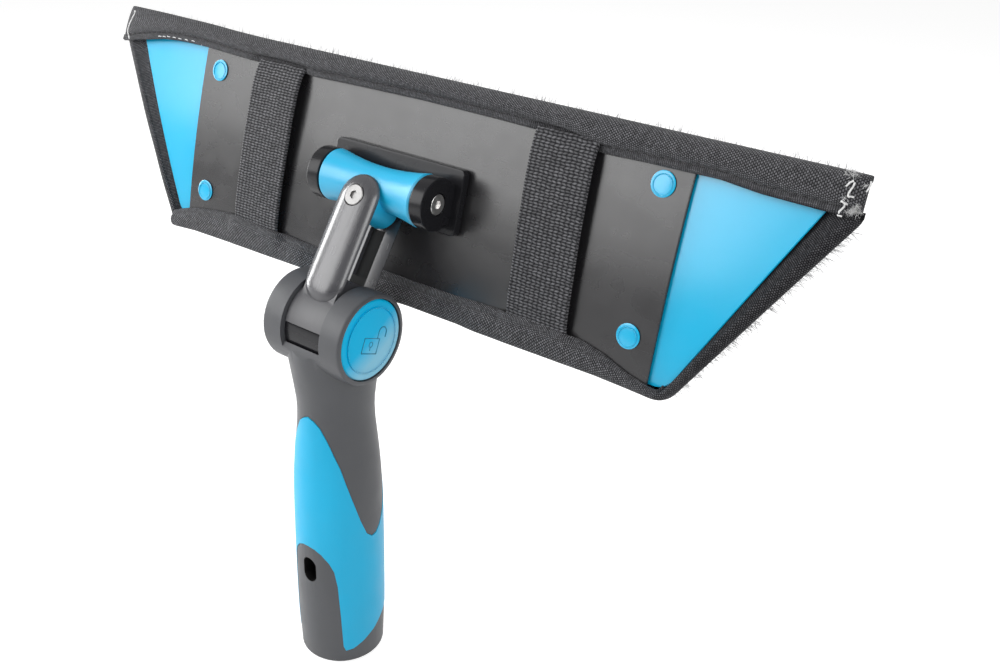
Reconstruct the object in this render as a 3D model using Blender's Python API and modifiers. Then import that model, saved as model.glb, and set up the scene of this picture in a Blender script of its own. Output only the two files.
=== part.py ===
"""Window cleaning pad holder: a pole handle, a locking knuckle, a swivel tee and a flexible pad.

Metres, +Z up. The origin is the pole seat, the flat blind end of the socket on the handle's axis.
X runs along the pad, and the pad is on the +Y side. The moving pieces hang from three empties,
one on each hinge axis, and the pad's own frame has y pointing into the pad, away from the handle.
"""

import math

import bmesh
import bpy
from mathutils import Matrix

# Clearances and overruns shared by all pieces
CLEARANCE = 0.0003
OVERRUN = 0.0010
MERGE_DISTANCE = 0.00001

# Pole socket and handle
SOCKET_DEPTH = 0.0780
SOCKET_SEAT_RADIUS = 0.0118
SOCKET_MOUTH_RADIUS = 0.0130
KNUCKLE_RISE = 0.0754
NECK_RADIUS = 0.0152
GRIP_RADIUS = 0.0183
MOUTH_ROUNDING = 0.0012
HANDLE_LENGTH = KNUCKLE_RISE + SOCKET_DEPTH
# Each row is a drop below the knuckle axis as a share of the handle's length, and a swell from
# the neck's radius at 0 to the grip's radius at 1
HANDLE_PROFILE_SHARES = (
    (0.030, 0.92), (0.078, 0.81), (0.117, 0.55), (0.156, 0.29), (0.196, 0.06), (0.228, 0.00),
    (0.267, 0.08), (0.319, 0.34), (0.372, 0.58), (0.424, 0.76), (0.482, 0.87), (0.554, 0.935),
    (0.671, 0.99), (0.802, 1.00), (0.900, 0.95), (0.992, 0.77))
HANDLE_STEPS = 48

# Click hole for the pole's spring button, an upright oval on the front of the grip
CLICK_HOLE_DROP = 0.1055
CLICK_HOLE_RADIUS = 0.0034
CLICK_HOLE_SPREAD = 0.0024

# Coloured grip inlay, let into the handle
INLAY_DEPTH = 0.0012
INLAY_PROUD = 0.0002
INLAY_ROWS = 6
INLAY_SPLITS = 2
# Each row is an angle from the front as a share of the half turn to the back, then the drops of
# the inlay's upper and lower edges below the knuckle axis as shares of the handle's length
INLAY_OUTLINE_SHARES = (
    (0.000, 0.220, 0.609), (0.055, 0.228, 0.612), (0.110, 0.243, 0.624), (0.165, 0.275, 0.648),
    (0.200, 0.300, 0.675), (0.222, 0.318, 0.725), (0.238, 0.331, 0.830), (0.250, 0.341, 0.935),
    (0.268, 0.357, 0.953), (0.325, 0.428, 0.949), (0.400, 0.521, 0.933), (0.450, 0.570, 0.920),
    (0.500, 0.588, 0.909), (0.545, 0.586, 0.896), (0.600, 0.570, 0.883), (0.675, 0.534, 0.873),
    (0.780, 0.460, 0.866), (0.890, 0.405, 0.862), (1.000, 0.385, 0.860))

# Knuckle: two cheeks on the handle, with the fork's drum between them
CHEEK_RADIUS = 0.0181
CHEEK_SPAN = 0.0390
CHEEK_ROUNDING = 0.0011
DRUM_GAP = 0.0198
DRUM_RADIUS = 0.0163
DRUM_SIDE_CLEARANCE = 0.0004
DRUM_CLEARANCE = 0.0005
WINDOW_DROP = 0.0035
REAR_WINDOW_DROP = 0.0100
LIP_DROP = 0.0075
BUSH_RADIUS = 0.0070
BUSH_DRUM_DEPTH = 0.0034
KNUCKLE_STEPS = 48

# Push-through lock: two buttons on one square shaft that carries a toothed ring
LOCK_TRAVEL = 0.0032
BUTTON_RADIUS = 0.0159
BUTTON_THICKNESS = 0.0029
BUTTON_CROWN = 0.0007
BUTTON_EDGE_ROUNDING = 0.0005
BUTTON_SOCKET_DEPTH = 0.0016
SHAFT_WIDTH = 0.0062
SHAFT_EDGE = 0.0005
RING_THICKNESS = 0.0026
RING_TIP_RADIUS = 0.0057
RING_ROOT_RADIUS = 0.0048
TOOTH_COUNT = 18
# Half widths of a tooth at its root and at its tip, as shares of the angle between teeth
RING_TOOTH_SHARES = (0.25, 0.18)
TOOTH_SLOT_SHARES = (0.33, 0.25)

# Fork: a drum with two arms, tilted forward of the handle
FORK_TILT = math.radians(34.0)
ARM_OFFSET = 0.0050
ARM_GAP = 0.0170
ARM_HALF_WIDTH = 0.0092
FRONT_ARM_THICKNESS = 0.0038
REAR_ARM_THICKNESS = 0.0027
FRONT_ARM_FOOT = 0.0055
REAR_ARM_FOOT = 0.0070
ARM_ROOT_HEIGHT = 0.0175
SWIVEL_REACH = 0.0476
CORING_HALF_WIDTH = 0.0038
CORING_DEPTH = 0.0020
CORING_MARGIN = 0.0035
ARM_CAP_STEPS = 5
ARM_ROUND_STEPS = 14

# Index drum: the toothed insert whose lower part shows in the knuckle's window
INDEX_CORE_RADIUS = 0.0118
INDEX_FACE_RADIUS = 0.0160
INDEX_FACE_DROP = 0.0052
INDEX_BORE_RADIUS = 0.0063
INDEX_TOOTH_LENGTH = 0.0033

# Swivel between the fork's arms
SWIVEL_HEAD_RADIUS = 0.0041
SWIVEL_HEAD_HEIGHT = 0.0012
SWIVEL_SHANK_RADIUS = 0.0014
SWIVEL_SHANK_LENGTH = 0.0115
SOCKET_KEY_RADIUS = 0.0017
SOCKET_KEY_DEPTH = 0.0009
NUT_SLEEVE_RADIUS = 0.0023
NUT_HEAD_RADIUS = 0.0038
NUT_HEAD_HEIGHT = 0.0007
NUT_ARM_DEPTH = 0.0010
WASHER_RADIUS = 0.0044
WASHER_THICKNESS = 0.0007
BUSH_WALL = 0.0007

# Tee: a waisted barrel with a boss that turns between the arms
BARREL_RISE = 0.0073
BARREL_HALF_LENGTH = 0.0225
BARREL_END_RADIUS = 0.0102
BARREL_WAIST_RADIUS = 0.0079
BARREL_EDGE_ROUNDING = 0.0006
BARREL_STATIONS = 8
BOSS_RADIUS = 0.0072

# Bracket that holds the barrel on the backing plate
HEAD_LEAN = math.radians(19.3)
RUNNING_GAP = 0.00035
EAR_THICKNESS = 0.0059
EAR_FOOT_HALF_WIDTH = 0.0078
EAR_ROUNDING = 0.0006
BRACKET_HALF_LENGTH = 0.0322
BRACKET_TOP = 0.0135
BRACKET_BOTTOM = 0.0115
BRACKET_THICKNESS = 0.0034
BRACKET_CORNER_RADIUS = 0.0022
BRACKET_EDGE = 0.0005
NOTCH_HALF_WIDTH = 0.0170
NOTCH_DROP = 0.0045
AXLE_RADIUS = 0.0025
AXLE_RECESS = 0.0018
AXLE_SCREW_HEAD_RADIUS = 0.0040
AXLE_SCREW_HEAD_HEIGHT = 0.0012
AXLE_SCREW_SHANK_RADIUS = 0.0012
AXLE_SCREW_SHANK_LENGTH = 0.0070
BRACKET_SCREW_SPREAD = 0.0052
BRACKET_SCREW_HEAD_RADIUS = 0.0026
BRACKET_SCREW_HEAD_HEIGHT = 0.0008
BRACKET_SCREW_SHANK_RADIUS = 0.0013
BRACKET_SCREW_SHANK_LENGTH = 0.0062

# Pad outline and its layers
PAD_TOP_HALF_LENGTH = 0.1750
PAD_END_SLANT = 0.0485
PAD_BOTTOM_HALF_LENGTH = PAD_TOP_HALF_LENGTH - PAD_END_SLANT
PAD_HALF_HEIGHT = 0.0435
HEM_WALL = 0.0022
CORE_THICKNESS = 0.0067
FACE_THICKNESS = 0.0065
FACE_OVERHANG = 0.0012
FACE_ROUNDING = 0.0026
END_ROWS = 6

# Backing plate and the flexible wings behind its ends
PLATE_STANDOFF = 0.0116
PLATE_BOW = 0.0015
PLATE_END_INSET = 0.0075
PLATE_HALF_LENGTH = PAD_BOTTOM_HALF_LENGTH - PLATE_END_INSET
PLATE_THICKNESS = 0.0014
PLATE_EDGE = 0.0003
PLATE_ROWS = 8
WING_THICKNESS = 0.0014
WING_LAP = 0.0200
WING_CORNER_RADIUS = 0.0045
WING_CORNER_ROWS = 6
RIVET_END_MARGIN = 0.0102
RIVET_EDGE_MARGIN = 0.0146
RIVET_HEAD_RADIUS = 0.00455
RIVET_HEAD_HEIGHT = 0.0008
RIVET_HEAD_ROUNDING = 0.0004
RIVET_SHANK_RADIUS = 0.0025


# Hems and elastic straps
TOP_HEM_HEIGHT = 0.0115
BOTTOM_HEM_HEIGHT = 0.0095
BOTTOM_HEM_END_HEIGHT = 0.0026
BOTTOM_HEM_TAPER = 0.0310
BOTTOM_HEM_STATIONS = 24
LIP_THICKNESS = 0.0016
LIP_CROWN = 0.0015
END_STRIP_DROP = 0.0004
END_STRIP_TOP_WIDTH = 0.0112
END_STRIP_BOTTOM_WIDTH = 0.0022
STRAP_WIDTH = 0.0262
STRAP_THICKNESS = 0.0015
# Where a strap's middle lies between the bracket's side and the plate's end
STRAP_PLACE_SHARE = 0.45507
STRAP_CENTRE = BRACKET_HALF_LENGTH + (PLATE_HALF_LENGTH - BRACKET_HALF_LENGTH) * STRAP_PLACE_SHARE
STRAP_STANDOFF = 0.0042
STRAP_END_STANDOFF = 0.0020
STRAP_ROWS = 8
# Sideways lean of a strap as a share of its height
STRAP_LEAN_SHARE = 0.04

SMALL_STEPS = 24
SMOOTH_ANGLE = math.radians(35.0)

# Heights and distances worked out from the sizes above
PAD_WALL_HEIGHT = PAD_HALF_HEIGHT - HEM_WALL
CORE_HALF_HEIGHT = PAD_WALL_HEIGHT - CLEARANCE
PLATE_HALF_HEIGHT = CORE_HALF_HEIGHT
RIVET_SPREAD = PLATE_HALF_LENGTH - RIVET_END_MARGIN
RIVET_RISE = PLATE_HALF_HEIGHT - RIVET_EDGE_MARGIN
CORE_BACK = (PLATE_STANDOFF + PLATE_BOW + PLATE_THICKNESS + WING_THICKNESS + CLEARANCE
             + CLEARANCE + CORE_THICKNESS)
BRACKET_BACK = PLATE_STANDOFF - CLEARANCE
BRACKET_FRONT = BRACKET_BACK - BRACKET_THICKNESS
EAR_INNER = BARREL_HALF_LENGTH + RUNNING_GAP
EAR_OUTER = EAR_INNER + EAR_THICKNESS
EAR_MIDDLE = (EAR_INNER + EAR_OUTER) / 2
STRIP_TOP = PAD_HALF_HEIGHT - TOP_HEM_HEIGHT - CLEARANCE
CHEEK_FACE = CHEEK_SPAN / 2
GAP_FACE = DRUM_GAP / 2
DRUM_FACE = GAP_FACE - DRUM_SIDE_CLEARANCE
BUTTON_SEAT = CHEEK_FACE - BUTTON_THICKNESS - CLEARANCE
RIGHT_POCKET_FLOOR = BUTTON_SEAT - CLEARANCE
LEFT_POCKET_FLOOR = RIGHT_POCKET_FLOOR - LOCK_TRAVEL
FRONT_ARM_FACE = ARM_OFFSET + ARM_GAP / 2
REAR_ARM_FACE = ARM_OFFSET - ARM_GAP / 2

FINISHES = {
    "soft grey": ((0.105, 0.108, 0.120), 0.55, 0.0),
    "gloss grey": ((0.070, 0.070, 0.078), 0.28, 0.0),
    "gloss black": ((0.016, 0.016, 0.019), 0.22, 0.0),
    "satin black": ((0.060, 0.058, 0.060), 0.42, 0.0),
    "bright blue": ((0.000, 0.430, 0.760), 0.30, 0.0),
    "steel": ((0.620, 0.610, 0.590), 0.28, 1.0),
    "natural plastic": ((0.700, 0.690, 0.640), 0.45, 0.0),
    "woven grey": ((0.060, 0.060, 0.064), 0.90, 0.0),
    "foam": ((0.240, 0.240, 0.250), 0.95, 0.0),
    "white fleece": ((0.820, 0.820, 0.800), 0.95, 0.0),
}


def start_collection(name):
    """Make a collection of this name in the scene."""
    collection = bpy.data.collections.new(name)
    bpy.context.scene.collection.children.link(collection)
    return collection


for old_object in list(bpy.data.objects):
    bpy.data.objects.remove(old_object)
PARTS = start_collection("window_cleaning_pad_holder")
CUTTERS = start_collection("cutters")


def material_for(name, finish):
    """The piece's own Principled material."""
    colour, roughness, metallic = FINISHES[finish]
    material = bpy.data.materials.new(name + "_finish")
    material.use_nodes = True
    shader = material.node_tree.nodes["Principled BSDF"]
    shader.inputs["Base Color"].default_value = (*colour, 1)
    shader.inputs["Roughness"].default_value = roughness
    shader.inputs["Metallic"].default_value = metallic
    material.diffuse_color = (*colour, 1)
    return material


def empty_axis(name, parent=None, location=(0, 0, 0), tilt=0):
    """An empty on a joint's axis, turned about X by tilt."""
    axis = bpy.data.objects.new(name, None)
    axis.parent = parent
    axis.location = location
    axis.rotation_euler = (tilt, 0, 0)
    PARTS.objects.link(axis)
    return axis


def add_object(name, shape, finish=None, parent=None, location=(0, 0, 0), rotation=(0, 0, 0)):
    """Turn a bmesh into an object: a part if it has a finish, otherwise a hidden shaping solid."""
    mesh = bpy.data.meshes.new(name)
    shape.to_mesh(mesh)
    shape.free()
    made = bpy.data.objects.new(name, mesh)
    made.parent = parent
    made.location = location
    made.rotation_euler = rotation
    if finish:
        mesh.materials.append(material_for(name, finish))
        mesh.shade_smooth()
        mesh.set_sharp_from_angle(angle=SMOOTH_ANGLE)
        PARTS.objects.link(made)
    else:
        made.hide_render = True
        made.display_type = "WIRE"
        CUTTERS.objects.link(made)
    return made


def combine(piece, operand, operation="DIFFERENCE"):
    """Cut the operand out of the piece, or join it on."""
    boolean = piece.modifiers.new(operation.lower() + "_" + operand.name, "BOOLEAN")
    boolean.operation = operation
    boolean.object = operand


def round_edges(piece, width, segments=2, angle=math.radians(40.0)):
    """Bevel the piece's sharp edges."""
    bevel = piece.modifiers.new("rounded_edges", "BEVEL")
    bevel.width = width
    bevel.segments = segments
    bevel.limit_method = "ANGLE"
    bevel.angle_limit = angle


def box(low, high):
    """A bmesh box between two corners."""
    shape = bmesh.new()
    middle = [(a + b) / 2 for a, b in zip(low, high)]
    size = [b - a for a, b in zip(low, high)]
    place = Matrix.Translation(middle) @ Matrix.Diagonal((*size, 1))
    bmesh.ops.create_cube(shape, size=1, matrix=place)
    return shape


AXIS_TURNS = {
    "X": Matrix.Rotation(math.pi / 2, 4, "Y"),
    "Y": Matrix.Rotation(-math.pi / 2, 4, "X"),
    "Z": Matrix.Identity(4),
}
AXIS_ROTATIONS = {"X": (0, math.pi / 2, 0), "Y": (-math.pi / 2, 0, 0), "Z": (0, 0, 0)}
AXIS_ORDER = "XYZ"


def rod(radius, start, end, axis="X", across=(0, 0), steps=SMALL_STEPS, end_radius=None):
    """A bmesh cylinder, or cone, along an axis; across is its place on the other two axes."""
    shape = bmesh.new()
    centre = list(across)
    centre.insert(AXIS_ORDER.index(axis), (start + end) / 2)
    place = Matrix.Translation(centre) @ AXIS_TURNS[axis]
    bmesh.ops.create_cone(shape, cap_ends=True, segments=steps, radius1=radius,
                          radius2=radius if end_radius is None else end_radius,
                          depth=end - start, matrix=place)
    return shape


def turned(name, profile, finish=None, parent=None, location=(0, 0, 0), axis="Z",
           steps=SMALL_STEPS, ring=False):
    """Spin a profile of (radius, height) points, listed down its outer side, about an axis."""
    shape = bmesh.new()
    points = [shape.verts.new((radius, 0, height)) for radius, height in profile]
    for first, second in zip(points, points[1:]):
        shape.edges.new((first, second))
    if ring:
        shape.edges.new((points[-1], points[0]))
    made = add_object(name, shape, finish, parent, location, AXIS_ROTATIONS[axis])
    screw = made.modifiers.new("turn", "SCREW")
    screw.steps = steps
    screw.render_steps = steps
    screw.use_merge_vertices = True
    screw.merge_threshold = MERGE_DISTANCE
    screw.use_smooth_shade = True
    return made


def tube_profile(outer, inner, bottom, top):
    """The closed profile of a plain tube."""
    return [(outer, top), (outer, bottom), (inner, bottom), (inner, top)]


def loft(rings):
    """A closed bmesh through rings of matching points, capped at both ends."""
    shape = bmesh.new()
    loops = [[shape.verts.new(point) for point in ring] for ring in rings]
    for lower, upper in zip(loops, loops[1:]):
        for index in range(len(lower)):
            following = (index + 1) % len(lower)
            shape.faces.new((lower[index], lower[following], upper[following], upper[index]))
    shape.faces.new(loops[0])
    shape.faces.new(loops[-1])
    bmesh.ops.recalc_face_normals(shape, faces=shape.faces)
    return shape


def flat_outline(points, start, end, axis="X"):
    """A flat outline extruded along an axis, made as a filled 2D curve and then a mesh.

    Along X the outline's first value runs down and its second along Y."""
    curve = bpy.data.curves.new("outline", "CURVE")
    curve.dimensions = "2D"
    curve.fill_mode = "BOTH"
    curve.extrude = (end - start) / 2
    spline = curve.splines.new("POLY")
    spline.points.add(len(points) - 1)
    for target, (across, up) in zip(spline.points, points):
        target.co = (across, up, 0, 1)
    spline.use_cyclic_u = True
    guide = bpy.data.objects.new("outline", curve)
    CUTTERS.objects.link(guide)
    bpy.context.view_layer.update()
    mesh = bpy.data.meshes.new_from_object(guide.evaluated_get(bpy.context.evaluated_depsgraph_get()))
    bpy.data.objects.remove(guide)
    bpy.data.curves.remove(curve)
    shape = bmesh.new()
    shape.from_mesh(mesh)
    bpy.data.meshes.remove(mesh)
    bmesh.ops.remove_doubles(shape, verts=shape.verts, dist=MERGE_DISTANCE)
    centre = [0, 0, 0]
    centre[AXIS_ORDER.index(axis)] = (start + end) / 2
    bmesh.ops.transform(shape, matrix=Matrix.Translation(centre) @ AXIS_TURNS[axis], verts=shape.verts)
    return shape


def spaced(low, high, count):
    """Evenly spaced values from low to high, with both ends."""
    return [low + (high - low) * step / count for step in range(count + 1)]


def read_table(table, place, column):
    """A value between the rows of a table, by its first column."""
    for before, after in zip(table, table[1:]):
        if place <= after[0]:
            share = max(0, (place - before[0]) / (after[0] - before[0]))
            return before[column] + (after[column] - before[column]) * share
    return table[-1][column]


def handle_radius(drop):
    """The handle's radius at a drop below the knuckle axis."""
    swell = read_table(HANDLE_PROFILE_SHARES, drop / HANDLE_LENGTH, 1)
    return NECK_RADIUS + (GRIP_RADIUS - NECK_RADIUS) * swell


def inlay_shape(depth, proud, margin):
    """The grip inlay: a wavy band round the handle, from depth below its surface to proud of it."""
    half = []
    for before, after in zip(INLAY_OUTLINE_SHARES, INLAY_OUTLINE_SHARES[1:]):
        for split in range(INLAY_SPLITS):
            half.append([a + (b - a) * split / INLAY_SPLITS for a, b in zip(before, after)])
    back = list(INLAY_OUTLINE_SHARES[-1])
    columns = half + [back] + [[-turn, upper, lower] for turn, upper, lower in reversed(half[1:])]
    rings = []
    for turn, upper, lower in columns:
        angle = turn * math.pi
        top = upper * HANDLE_LENGTH - margin
        bottom = lower * HANDLE_LENGTH + margin
        drops = spaced(top, bottom, INLAY_ROWS)
        outer = [(handle_radius(drop) + proud, drop) for drop in drops]
        inner = [(handle_radius(drop) - depth, drop) for drop in reversed(drops)]
        rings.append([(radius * math.sin(angle), -radius * math.cos(angle), KNUCKLE_RISE - drop)
                      for radius, drop in outer + inner])
    rings.append(rings[0])
    shape = loft(rings)
    bmesh.ops.delete(shape, geom=[face for face in shape.faces if len(face.verts) > 4],
                     context="FACES_ONLY")
    bmesh.ops.remove_doubles(shape, verts=shape.verts, dist=MERGE_DISTANCE)
    bmesh.ops.recalc_face_normals(shape, faces=shape.faces)
    return shape


def gear_outline(root, tip, half_shares, turn=0):
    """Points round a toothed ring; half_shares are a tooth's half widths at root and tip."""
    pitch = math.tau / TOOTH_COUNT
    at_root, at_tip = half_shares
    points = []
    for tooth in range(TOOTH_COUNT):
        middle = pitch * tooth + turn
        for radius, offset in ((root, -at_root), (tip, -at_tip), (tip, at_tip), (root, at_root)):
            angle = middle + pitch * offset
            points.append((radius * math.cos(angle), radius * math.sin(angle)))
    return points


def plate_face(height):
    """The front of the bowed backing plate."""
    return PLATE_STANDOFF + PLATE_BOW * (height / PLATE_HALF_HEIGHT) ** 2


def wing_face(height):
    """The front of the wings, just behind the plate."""
    return plate_face(height) + PLATE_THICKNESS + CLEARANCE


def pad_half_length(height):
    """Half the pad's length: slanted ends below the top hem, and upright ones beside it."""
    share = (height + PAD_HALF_HEIGHT) / (STRIP_TOP + PAD_HALF_HEIGHT)
    return PAD_BOTTOM_HALF_LENGTH + (PAD_TOP_HALF_LENGTH - PAD_BOTTOM_HALF_LENGTH) * min(share, 1)


def end_strip_width(height):
    """How far the end hem's strip reaches in from the pad's slanted edge at this height."""
    share = (height + CORE_HALF_HEIGHT) / (STRIP_TOP + CORE_HALF_HEIGHT)
    return END_STRIP_BOTTOM_WIDTH + (END_STRIP_TOP_WIDTH - END_STRIP_BOTTOM_WIDTH) * share


def slab(heights, left, right, front, back):
    """A bmesh slab through heights; its sides, front and back are functions of the height."""
    rings = []
    for height in heights:
        rings.append([(left(height), front(height), height), (right(height), front(height), height),
                      (right(height), back(height), height), (left(height), back(height), height)])
    return loft(rings)


knuckle = empty_axis("knuckle_axis", None, (0, 0, KNUCKLE_RISE), -FORK_TILT)
lock = empty_axis("lock_axis", None, (0, 0, KNUCKLE_RISE))
swivel = empty_axis("swivel_axis", knuckle, (0, -ARM_OFFSET, SWIVEL_REACH))
head = empty_axis("barrel_axis", swivel, (0, 0, BARREL_RISE), HEAD_LEAN)


def make_handle():
    """The handle's body: socket, grip and neck are turned, and the cheeks are joined on."""
    outside = [(handle_radius(share * HANDLE_LENGTH), KNUCKLE_RISE - share * HANDLE_LENGTH)
               for share, _ in HANDLE_PROFILE_SHARES]
    mouth = KNUCKLE_RISE - HANDLE_LENGTH
    mouth_radius = outside[-1][0] - MOUTH_ROUNDING
    profile = [(0, outside[0][1]), *outside, (mouth_radius, mouth),
               (SOCKET_MOUTH_RADIUS, mouth), (SOCKET_SEAT_RADIUS, 0), (0, 0)]
    body = turned("handle_body", profile, "soft grey", steps=HANDLE_STEPS)
    cheeks = add_object("cheeks", rod(CHEEK_RADIUS, -CHEEK_FACE, CHEEK_FACE, steps=KNUCKLE_STEPS),
                        parent=lock)
    round_edges(cheeks, CHEEK_ROUNDING)
    combine(body, cheeks, "UNION")
    window = flat_outline(window_outline(), -GAP_FACE, GAP_FACE)
    combine(body, add_object("window", window, parent=lock))
    for side, side_name, floor in ((-1, "left", LEFT_POCKET_FLOOR), (1, "right", RIGHT_POCKET_FLOOR)):
        low, high = sorted((side * floor, side * (CHEEK_FACE + OVERRUN)))
        pocket = add_object(side_name + "_pocket", rod(BUTTON_RADIUS + CLEARANCE, low, high,
                                                       steps=KNUCKLE_STEPS), parent=lock)
        combine(body, pocket)
    bore = add_object("bush_bore", rod(BUSH_RADIUS + CLEARANCE, -CHEEK_FACE, CHEEK_FACE), parent=lock)
    combine(body, bore)
    recess = add_object("inlay_recess", inlay_shape(INLAY_DEPTH + CLEARANCE, OVERRUN, CLEARANCE))
    combine(body, recess)
    make_click_hole(body)
    return body


def window_outline():
    """The outline of the window between the cheeks: round the drum, with a sloped lip in front."""
    swing = DRUM_RADIUS + DRUM_CLEARANCE
    reach = CHEEK_RADIUS + OVERRUN
    start = math.asin(WINDOW_DROP / swing)
    end = math.pi - math.asin(REAR_WINDOW_DROP / swing)
    outline = [(swing * math.sin(angle), -swing * math.cos(angle))
               for angle in spaced(start, end, SMALL_STEPS)]
    return outline + [(REAR_WINDOW_DROP, reach), (-reach, reach), (-reach, -reach),
                      (LIP_DROP + OVERRUN, -reach), (LIP_DROP, -CHEEK_RADIUS)]


def make_click_hole(body):
    """The upright oval hole through the front wall of the socket."""
    height = KNUCKLE_RISE - CLICK_HOLE_DROP
    outline = []
    for step in range(SMALL_STEPS + 1):
        angle = math.pi * step / SMALL_STEPS
        outline.append((CLICK_HOLE_RADIUS * math.cos(angle),
                        CLICK_HOLE_SPREAD + CLICK_HOLE_RADIUS * math.sin(angle)))
    outline += [(-across, -up) for across, up in outline]
    front = -GRIP_RADIUS - OVERRUN
    shape = flat_outline(outline, front, 0, "Y")
    hole = add_object("click_hole", shape, location=(0, 0, height))
    combine(body, hole)


def make_pivot_bushes():
    """Short sleeves that sit in the cheeks, carry the drum and guide the square shaft."""
    half = SHAFT_WIDTH / 2 + CLEARANCE
    for side, side_name, floor in ((-1, "left", LEFT_POCKET_FLOOR), (1, "right", RIGHT_POCKET_FLOOR)):
        low, high = sorted((side * (DRUM_FACE - BUSH_DRUM_DEPTH), side * floor))
        bush = add_object(side_name + "_pivot_bush", rod(BUSH_RADIUS, low, high), "natural plastic",
                          lock)
        guide = add_object(side_name + "_bush_guide", box((low - OVERRUN, -half, -half),
                                                          (high + OVERRUN, half, half)), parent=lock)
        combine(bush, guide)


def make_lock():
    """The sliding lock: an outer button on each side of one square shaft with a toothed ring."""
    half = SHAFT_WIDTH / 2
    end = BUTTON_SEAT + BUTTON_SOCKET_DEPTH - CLEARANCE
    shaft = add_object("lock_shaft", box((-end, -half, -half), (end, half, half)), "steel", lock)
    round_edges(shaft, SHAFT_EDGE, segments=1)
    ring_outline = gear_outline(RING_ROOT_RADIUS, RING_TIP_RADIUS, RING_TOOTH_SHARES)
    ring_end = -CLEARANCE
    ring = add_object("shaft_ring", flat_outline(ring_outline, ring_end - RING_THICKNESS, ring_end),
                      parent=lock)
    combine(shaft, ring, "UNION")
    crown = BUTTON_THICKNESS + BUTTON_CROWN
    edge = BUTTON_RADIUS - BUTTON_EDGE_ROUNDING
    crown_table = [(radius, crown - BUTTON_CROWN * (radius / edge) ** 2)
                   for radius in spaced(0, edge, 4)]
    profile = crown_table + [(BUTTON_RADIUS, BUTTON_THICKNESS - BUTTON_EDGE_ROUNDING),
                             (BUTTON_RADIUS, 0), (0, 0)]
    socket = half + CLEARANCE
    for side, name in ((1, "unlock_button"), (-1, "lock_button")):
        button = turned(name, profile, "bright blue", lock, (side * BUTTON_SEAT, 0, 0), "X",
                        steps=KNUCKLE_STEPS)
        button.rotation_euler = (0, side * math.pi / 2, 0)
        low, high = sorted((side * (BUTTON_SEAT - OVERRUN), side * (BUTTON_SEAT + BUTTON_SOCKET_DEPTH)))
        hole = add_object(name + "_socket", box((low, -socket, -socket), (high, socket, socket)),
                          parent=lock)
        combine(button, hole)


def make_inlay():
    """The coloured rubber inlay of the grip, with the click hole's dark field left free."""
    add_object("grip_inlay", inlay_shape(INLAY_DEPTH, INLAY_PROUD, 0), "bright blue")


def arm_shape(face, thickness, foot, outward):
    """An arm with a flat inner face, an oval outer side and rounded ends."""
    rings = []
    stations = [(foot + ARM_HALF_WIDTH, -1), (SWIVEL_REACH, 1)]
    for centre, direction in stations:
        angles = spaced(0, math.radians(82.0), ARM_CAP_STEPS)
        for angle in (reversed(angles) if direction < 0 else angles):
            shrink = math.cos(angle)
            height = centre + direction * ARM_HALF_WIDTH * math.sin(angle)
            ring = []
            for step in range(ARM_ROUND_STEPS + 1):
                turn = math.pi * step / ARM_ROUND_STEPS
                ring.append((ARM_HALF_WIDTH * shrink * math.cos(turn),
                             -face - outward * thickness * shrink * math.sin(turn), height))
            rings.append(ring)
    return loft(rings)


def make_fork():
    """The fork's body: a drum, a root block and two arms, with room for the index drum."""
    body = add_object("fork_body", rod(DRUM_RADIUS, -DRUM_FACE, DRUM_FACE, steps=KNUCKLE_STEPS),
                      "gloss grey", knuckle)
    root = add_object("arm_root", box((-ARM_HALF_WIDTH + OVERRUN, -FRONT_ARM_FACE - OVERRUN, 0),
                                      (ARM_HALF_WIDTH - OVERRUN, -REAR_ARM_FACE + OVERRUN,
                                       ARM_ROOT_HEIGHT)), parent=knuckle)
    front = add_object("front_arm", arm_shape(FRONT_ARM_FACE, FRONT_ARM_THICKNESS, FRONT_ARM_FOOT, 1),
                       parent=knuckle)
    rear = add_object("rear_arm", arm_shape(REAR_ARM_FACE, REAR_ARM_THICKNESS, REAR_ARM_FOOT, -1),
                      parent=knuckle)
    for solid in (root, front, rear):
        combine(body, solid, "UNION")
    coring = add_object("coring", box(
        (-CORING_HALF_WIDTH, -FRONT_ARM_FACE - CORING_DEPTH, ARM_ROOT_HEIGHT + CORING_MARGIN),
        (CORING_HALF_WIDTH, -REAR_ARM_FACE + CORING_DEPTH, SWIVEL_REACH - WASHER_RADIUS - OVERRUN)),
        parent=knuckle)
    combine(body, coring)
    for name, cutter in index_drum_solids(CLEARANCE, OVERRUN):
        combine(body, add_object("space_for_" + name, cutter, parent=knuckle))
    front_skin = FRONT_ARM_FACE + FRONT_ARM_THICKNESS
    rear_skin = REAR_ARM_FACE - REAR_ARM_THICKNESS
    holes = (
        ("swivel_bore", NUT_SLEEVE_RADIUS + CLEARANCE, -front_skin, -rear_skin + OVERRUN),
        ("screw_head_recess", SWIVEL_HEAD_RADIUS + CLEARANCE, -front_skin - OVERRUN,
         -front_skin + SWIVEL_HEAD_HEIGHT + CLEARANCE),
        ("nut_head_recess", NUT_HEAD_RADIUS + CLEARANCE, -rear_skin - NUT_HEAD_HEIGHT - CLEARANCE,
         -rear_skin + OVERRUN))
    for name, radius, start, end in holes:
        combine(body, add_object(name, rod(radius, start, end, "Y", (0, SWIVEL_REACH)),
                                 parent=knuckle))
    return body


def index_drum_solids(growth, overrun):
    """The index drum's round core and its lower face, grown by a clearance for the fork's space."""
    half = DRUM_FACE + overrun
    face = INDEX_FACE_RADIUS + (growth and DRUM_RADIUS)
    core = rod(INDEX_CORE_RADIUS + growth, -half, half, steps=KNUCKLE_STEPS)
    lower = box((-half, -face, -face), (half, face, -INDEX_FACE_DROP + growth))
    return (("index_core", core), ("index_face", lower))


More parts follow.
